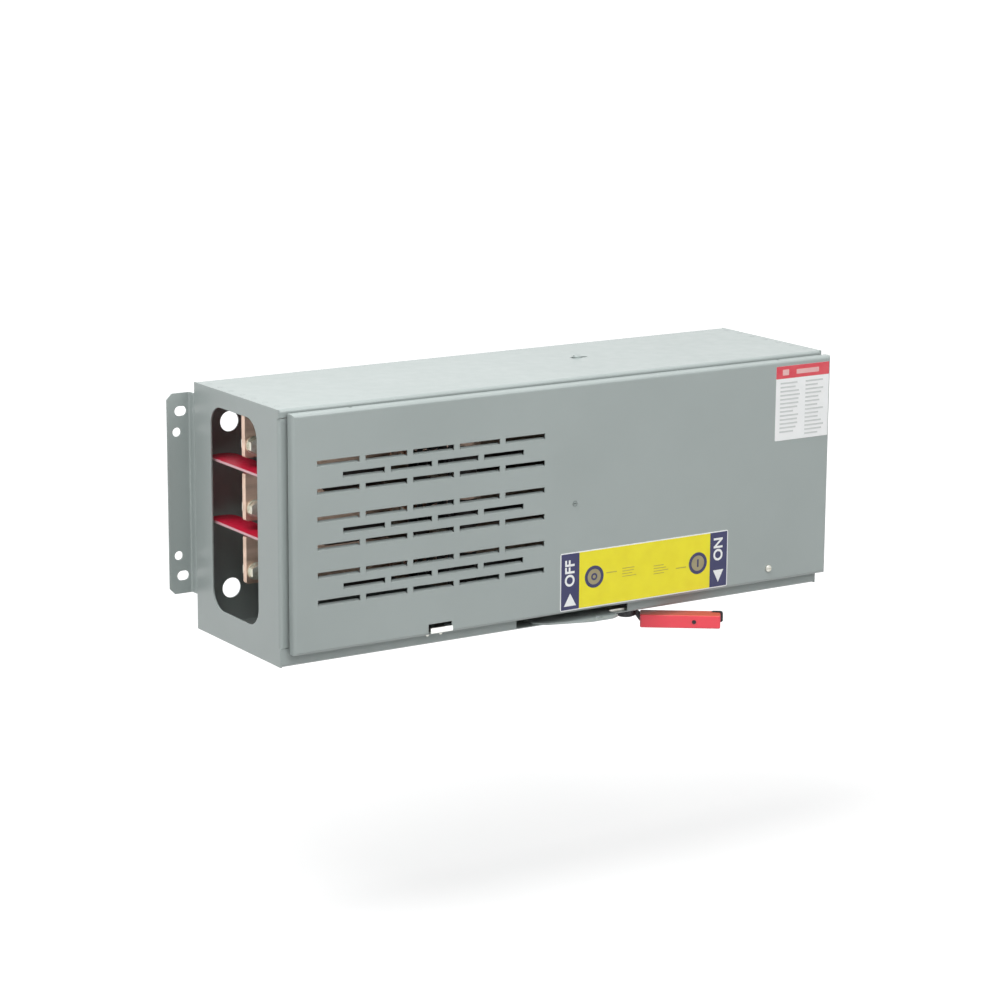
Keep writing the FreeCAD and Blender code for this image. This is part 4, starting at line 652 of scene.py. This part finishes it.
def grown(name, tree, ids, sizes, body, place=None):
    """Runs a node tree once, keeps the result as a plain mesh and lets it ride on a body."""
    carrier = bpy.data.objects.new(name, bpy.data.meshes.new(name))
    maker = carrier.modifiers.new("maker", "NODES")
    maker.node_group = tree
    for key, value in sizes.items():
        maker[ids[key]] = value
    bpy.context.scene.collection.objects.link(carrier)
    seen = carrier.evaluated_get(bpy.context.evaluated_depsgraph_get())
    mesh = bpy.data.meshes.new_from_object(seen)
    carrier.modifiers.remove(maker)
    carrier.data = mesh
    if place is not None:
        mesh.transform(Matrix.Translation(place))
    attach(carrier, body)
    print(name, "faces:", len(mesh.polygons))
    return carrier


# %% [markdown]
# ## Rules on both labels
# Each block is one line of a list: its name, the place of its first row, how many rows it has, the
# longest and the shortest row, and how tall a row is. The seed is the block's place in the list,
# so every run prints the same rows.

# %% Rules of the position label
brown_rules, brown_ids = rules_tree("brown_rules", ink_brown)
RULE_PITCH = 3.4
RULES_PROUD = FILM + 1.5 * PRINT
RULE_BLOCKS = (
    ("left_rule", LEFT_RING[0] + 18, 44.0, 1, 16, 15, 1.4),
    ("left_lines", LEFT_RING[0] + 42, 46.5, 4, 28, 14, 1.1),
    ("right_lines", RIGHT_RING[0] - 68, 43.5, 4, 26, 12, 1.1),
    ("right_rule", RIGHT_RING[0] - 34, 36.0, 1, 16, 15, 1.4),
)
for seed, (name, across, up, rows, longest, shortest, tall) in enumerate(RULE_BLOCKS):
    sizes = {"Rows": rows, "Pitch": RULE_PITCH * MM, "Longest": longest * MM,
             "Shortest": shortest * MM, "Height": tall * MM, "Seed": seed}
    grown("printed_" + name, brown_rules, brown_ids, sizes, "cover",
          on_cover(across, up, RULES_PROUD))

# %% [markdown]
# ## The blank notice
# A white notice with a red head sits in the upper corner of the cover. A real unit has its
# maker's words there. Here it stays blank, with two pale blocks in the head and two columns of
# grey rules, as a form has before it is filled in.

# %% The notice
NOTICE_WIDE = 84.5
NOTICE_INSET = 3.5
NOTICE_LEFT = COVER_WIDE - NOTICE_WIDE - NOTICE_INSET
NOTICE_LOW = 182.0
NOTICE_TALL = 95.5
NOTICE_HEAD = 16.0
NOTICE_PITCH = 5.2
NOTICE_ROW = 2.2
NOTICE_COLUMNS = ((7, 13, 32), (47, 14, 31))


def notice():
    """White film, red head, and the pale square and bar in the head."""
    right = NOTICE_LEFT + NOTICE_WIDE
    high = NOTICE_LOW + NOTICE_TALL
    head_low = high - NOTICE_HEAD
    slips("notice_film", [rounded(NOTICE_LEFT, right, NOTICE_LOW, high, 1.5)], 0, FILM, film_white)
    slips("notice_head", [rounded(NOTICE_LEFT, right, head_low, high, 1.2)], FILM, PRINT, ink_red)
    blocks = [rounded(NOTICE_LEFT + 10, NOTICE_LEFT + 20, head_low + 4, high - 4.5, 0.8),
              rounded(NOTICE_LEFT + 32, NOTICE_LEFT + 68, head_low + 4.5, high - 5.5, 0.8)]
    slips("notice_blanks", blocks, FILM + PRINT, PRINT, ink_pink)


notice()
grey_rules, grey_ids = rules_tree("grey_rules", ink_grey)
first_row = NOTICE_LOW + NOTICE_TALL - NOTICE_HEAD - 6
for column, (across, rows, longest) in enumerate(NOTICE_COLUMNS):
    sizes = {"Rows": rows, "Pitch": NOTICE_PITCH * MM, "Longest": longest * MM,
             "Shortest": 0.6 * longest * MM, "Height": NOTICE_ROW * MM, "Seed": 11 + column}
    grown("notice_rules_" + str(column), grey_rules, grey_ids, sizes, "cover",
          on_cover(NOTICE_LEFT + across, first_row, FILM + PRINT / 2))
print("notice in mm:", NOTICE_WIDE, "by", NOTICE_TALL)

# %% [markdown]
# ## Spot welds by Geometry Nodes
# The end walls lap inside the folded wrap and are spot welded to it. Each weld leaves a shallow
# round dent with a raised rim under the enamel. A bump in the material would change only the
# shading and not the mesh, so each dent is a small low ring, repeated along a line by a node tree.
# Instances are only pointers to one mesh, and many exporters skip them. Realize Instances at the
# end of the tree turns them into faces of their own.

# %% Weld marks
WELD_R = 3.2
WELD_RIM = 0.12
WELD_INSET = 8.0
WELD_COUNT = 7
WELD_MARGIN = 0.1


def welds_tree():
    """Low rings in a row: a thin torus on every point of a line."""
    tree = bpy.data.node_groups.new("weld_marks", "GeometryNodeTree")
    ids = named_inputs(tree, {
        "Count": ("NodeSocketInt", WELD_COUNT),
        "Step": ("NodeSocketVector", (0, 30 * MM, 0)),
        "Radius": ("NodeSocketFloat", WELD_R * MM),
        "Rim": ("NodeSocketFloat", WELD_RIM * MM),
    })
    tree.interface.new_socket("Geometry", in_out="OUTPUT", socket_type="NodeSocketGeometry")
    entry = node(tree, "NodeGroupInput")
    result = node(tree, "NodeGroupOutput")
    row = node(tree, "GeometryNodeMeshLine", mode="OFFSET")
    circle = node(tree, "GeometryNodeCurvePrimitiveCircle")
    circle.inputs["Resolution"].default_value = 16
    section = node(tree, "GeometryNodeCurvePrimitiveCircle")
    section.inputs["Resolution"].default_value = 6
    ring = node(tree, "GeometryNodeCurveToMesh")
    copies = node(tree, "GeometryNodeInstanceOnPoints")
    solid = node(tree, "GeometryNodeRealizeInstances")
    coat = node(tree, "GeometryNodeSetMaterial")
    coat.inputs["Material"].default_value = enamel
    wire(tree,
         (entry.outputs["Count"], row.inputs["Count"]),
         (entry.outputs["Step"], row.inputs["Offset"]),
         (entry.outputs["Radius"], circle.inputs["Radius"]),
         (entry.outputs["Rim"], section.inputs["Radius"]),
         (circle.outputs["Curve"], ring.inputs["Curve"]),
         (section.outputs["Curve"], ring.inputs["Profile Curve"]),
         (row.outputs["Mesh"], copies.inputs["Points"]),
         (ring.outputs["Mesh"], copies.inputs["Instance"]),
         (copies.outputs["Instances"], solid.inputs["Geometry"]),
         (solid.outputs["Geometry"], coat.inputs["Geometry"]),
         (coat.outputs["Geometry"], result.inputs["Geometry"]))
    return tree, ids


weld_marks, weld_ids = welds_tree()
wrap_low, wrap_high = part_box("enclosure_wrap")
deep = wrap_high.y - wrap_low.y
weld_step = (1 - 2 * WELD_MARGIN) * deep / (WELD_COUNT - 1)
for end, across in (("line", wrap_low.x + WELD_INSET * MM), ("load", wrap_high.x - WELD_INSET * MM)):
    for face, up in (("top", wrap_high.z), ("bottom", wrap_low.z)):
        first = Vector((across, wrap_low.y + WELD_MARGIN * deep, up))
        sizes = {"Count": WELD_COUNT, "Step": (0, weld_step, 0)}
        grown("welds_" + end + "_" + face, weld_marks, weld_ids, sizes,
              "enclosure", first)
print("weld pitch in mm:", round(weld_step / MM, 1))

# %% [markdown]
# ## Sleeves round the fuses by Geometry Nodes
# A fuse is a pale tube with a plated ferrule pressed over each end and a paper wrap between them.
# All of these are the same form, a short thin sleeve, so one tree makes them: a circle carries a
# small upright section round itself. The wrap stays blank apart from a plain coloured stripe.

# %% Ferrules and wraps
FERRULE_WIDE = 12.4
WRAP_WIDE = 62.0
STRIPE_WIDE = 9.0
STRIPE_SHIFT = -20.0
SLEEVE_THICK = 0.25
BARREL_SUNK = 0.6


def sleeves_tree(name, finish):
    """Thin sleeves about the X axis: a rectangle swept round a circle at every point of a line."""
    tree = bpy.data.node_groups.new(name, "GeometryNodeTree")
    ids = named_inputs(tree, {
        "Count": ("NodeSocketInt", 3),
        "Step": ("NodeSocketVector", (0, 0, 80 * MM)),
        "Radius": ("NodeSocketFloat", 27 * MM),
        "Width": ("NodeSocketFloat", FERRULE_WIDE * MM),
        "Thickness": ("NodeSocketFloat", SLEEVE_THICK * MM),
    })
    tree.interface.new_socket("Geometry", in_out="OUTPUT", socket_type="NodeSocketGeometry")
    entry = node(tree, "NodeGroupInput")
    result = node(tree, "NodeGroupOutput")
    row = node(tree, "GeometryNodeMeshLine", mode="OFFSET")
    circle = node(tree, "GeometryNodeCurvePrimitiveCircle")
    circle.inputs["Resolution"].default_value = 72
    section = node(tree, "GeometryNodeCurvePrimitiveQuadrilateral")
    sleeve = node(tree, "GeometryNodeCurveToMesh")
    turn = node(tree, "GeometryNodeTransform")
    turn.inputs["Rotation"].default_value = (0, math.pi / 2, 0)
    copies = node(tree, "GeometryNodeInstanceOnPoints")
    solid = node(tree, "GeometryNodeRealizeInstances")
    coat = node(tree, "GeometryNodeSetMaterial")
    coat.inputs["Material"].default_value = finish
    wire(tree,
         (entry.outputs["Count"], row.inputs["Count"]),
         (entry.outputs["Step"], row.inputs["Offset"]),
         (entry.outputs["Radius"], circle.inputs["Radius"]),
         (entry.outputs["Thickness"], section.inputs["Width"]),
         (entry.outputs["Width"], section.inputs["Height"]),
         (circle.outputs["Curve"], sleeve.inputs["Curve"]),
         (section.outputs["Curve"], sleeve.inputs["Profile Curve"]),
         (sleeve.outputs["Mesh"], turn.inputs["Geometry"]),
         (row.outputs["Mesh"], copies.inputs["Points"]),
         (turn.outputs["Geometry"], copies.inputs["Instance"]),
         (copies.outputs["Instances"], solid.inputs["Geometry"]),
         (solid.outputs["Geometry"], coat.inputs["Geometry"]),
         (coat.outputs["Geometry"], result.inputs["Geometry"]))
    return tree, ids


fuse_low, fuse_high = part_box("fuse_a")
FUSE_MIDDLE = (fuse_low + fuse_high) / 2
FUSE_STEP = (0, 0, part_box("fuse_b")[0].z - fuse_low.z)
BAND_R = (fuse_high.z - fuse_low.z) / 2
BARREL_R = BAND_R - BARREL_SUNK * MM
end_shift = (fuse_high.x - fuse_low.x - FERRULE_WIDE * MM) / 2
SLEEVES = (
    ("ferrules_line", zinc, "zinc_plated", -end_shift, BAND_R, FERRULE_WIDE),
    ("ferrules_load", zinc, "zinc_plated", end_shift, BAND_R, FERRULE_WIDE),
    ("fuse_wraps", film_white, "fuse_body", 0, BARREL_R, WRAP_WIDE),
    ("fuse_stripes", ink_red, "fuse_body", STRIPE_SHIFT * MM, BARREL_R + SLEEVE_THICK * MM, STRIPE_WIDE),
)
for name, finish, slot, shift, radius, wide in SLEEVES:
    tree, ids = sleeves_tree(name, finish)
    sizes = {"Count": 3, "Step": FUSE_STEP, "Radius": radius, "Width": wide * MM,
             "Thickness": SLEEVE_THICK * MM}
    grown(name, tree, ids, sizes, "enclosure", FUSE_MIDDLE + Vector((shift, 0, 0)))

# %% [markdown]
# ## The studio
# The unit hangs above a pale floor. The background is white only to the eye and in reflections,
# so the light that falls on the unit stays at the level at which a colour looks as it was chosen,
# and the floor still takes the shadow. Lamps fade with distance, so the floor glows more the
# further it is from the unit, and stays white up to the horizon.
#
# A large soft lamp above the line end makes the top the brightest face and lets the cover cast its
# shadow on the flange below it. The second lamp opens up the front. Two weak ones, one behind and
# one beside the load end, keep those sides readable. The lamps themselves are hidden from the eye.

# %% Floor, surroundings and lamps
FLOOR_DROP = 0.34
FLOOR_HALF = 30.0
FLOOR_GREY = 0.45
FLOOR_ROUGHNESS = 0.9
GLOW_BESIDE = 0.56
GLOW_AFAR = 1.0
GLOW_REACH = (0.3, 3.0)
SKY_TINT = (0.97, 0.99, 1.0, 1)
SKY_LEVEL = 0.2
LAMPS = (
    ("key_lamp", (-1.3, -0.6, 2.6), 2.2, 102),
    ("front_lamp", (0.5, -2.6, 2.0), 2.0, 48),
    ("back_lamp", (-1.8, 2.4, 1.4), 2.0, 13),
    ("side_lamp", (2.8, 0.4, 1.2), 1.8, 18),
)


def bright_to_camera(tree, seen, lit):
    """Shows one surface to the camera, to gloss and to glass, and another to diffuse light."""
    path = tree.nodes.new("ShaderNodeLightPath")
    first = node(tree, "ShaderNodeMath", operation="MAXIMUM")
    second = node(tree, "ShaderNodeMath", operation="MAXIMUM")
    choice = tree.nodes.new("ShaderNodeMixShader")
    wire(tree,
         (path.outputs["Is Camera Ray"], first.inputs[0]),
         (path.outputs["Is Glossy Ray"], first.inputs[1]),
         (first.outputs[0], second.inputs[0]),
         (path.outputs["Is Transmission Ray"], second.inputs[1]),
         (second.outputs[0], choice.inputs["Fac"]),
         (lit, choice.inputs[1]),
         (seen, choice.inputs[2]))
    return choice.outputs[0]


def surroundings():
    """A world that is white to look at and much darker as a light."""
    world = bpy.data.worlds.new("studio")
    world.use_nodes = True
    tree = world.node_tree
    seen = tree.nodes["Background"]
    seen.inputs["Color"].default_value = (1, 1, 1, 1)
    seen.inputs["Strength"].default_value = 1.0
    lit = tree.nodes.new("ShaderNodeBackground")
    lit.inputs["Color"].default_value = SKY_TINT
    lit.inputs["Strength"].default_value = SKY_LEVEL
    choice = bright_to_camera(tree, seen.outputs[0], lit.outputs[0])
    tree.links.new(choice, tree.nodes["World Output"].inputs["Surface"])
    bpy.context.scene.world = world


def floor():
    """A wide pale floor below the unit, which glows only to the eye and still takes the shadow."""
    half = FLOOR_HALF
    up = cad_low.z - FLOOR_DROP
    mesh = bpy.data.meshes.new("studio_floor")
    corners = [(-half, -half, up), (half, -half, up), (half, half, up), (-half, half, up)]
    mesh.from_pydata(corners, [], [(0, 1, 2, 3)])
    slab = bpy.data.objects.new("studio_floor", mesh)
    bpy.context.scene.collection.objects.link(slab)
    grey = (FLOOR_GREY, FLOOR_GREY, FLOOR_GREY, 1)
    material, tree, shader = start_finish("studio_floor", grey, FLOOR_ROUGHNESS)
    shader.inputs["Specular IOR Level"].default_value = 0.0
    glow = tree.nodes.new("ShaderNodeEmission")
    place = tree.nodes.new("ShaderNodeTexCoord")
    distance = node(tree, "ShaderNodeVectorMath", operation="LENGTH")
    tree.links.new(place.outputs["Object"], distance.inputs[0])
    strength = spread(tree, distance.outputs["Value"], GLOW_BESIDE, GLOW_AFAR, *GLOW_REACH)
    both = tree.nodes.new("ShaderNodeAddShader")
    wire(tree,
         (strength, glow.inputs["Strength"]),
         (shader.outputs[0], both.inputs[0]),
         (glow.outputs[0], both.inputs[1]))
    choice = bright_to_camera(tree, both.outputs[0], shader.outputs[0])
    tree.links.new(choice, tree.nodes["Material Output"].inputs["Surface"])
    mesh.materials.append(material)
    slab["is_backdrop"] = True


def lamp(name, place, aim, size, power):
    """A square soft lamp that faces a point."""
    light = bpy.data.lights.new(name, "AREA")
    light.size = size
    light.energy = power
    carrier = bpy.data.objects.new(name, light)
    carrier.location = place
    carrier.rotation_euler = (aim - Vector(place)).to_track_quat("-Z", "Y").to_euler()
    carrier.visible_camera = False
    bpy.context.scene.collection.objects.link(carrier)


surroundings()
floor()
middle = (cad_low + cad_high) / 2
for name, place, size, power in LAMPS:
    lamp(name, place, middle, size, power)
print("lamps:", len(LAMPS))

# %% [markdown]
# ## Finishing
# The last cell measures the dressed scene and keeps its size beside the size of the construction
# model, so that they can be compared.

# %% Measure both sizes
seen_low, seen_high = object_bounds()
sizes = {"cad": [list(cad_low), list(cad_high)], "visual": [list(seen_low), list(seen_high)]}
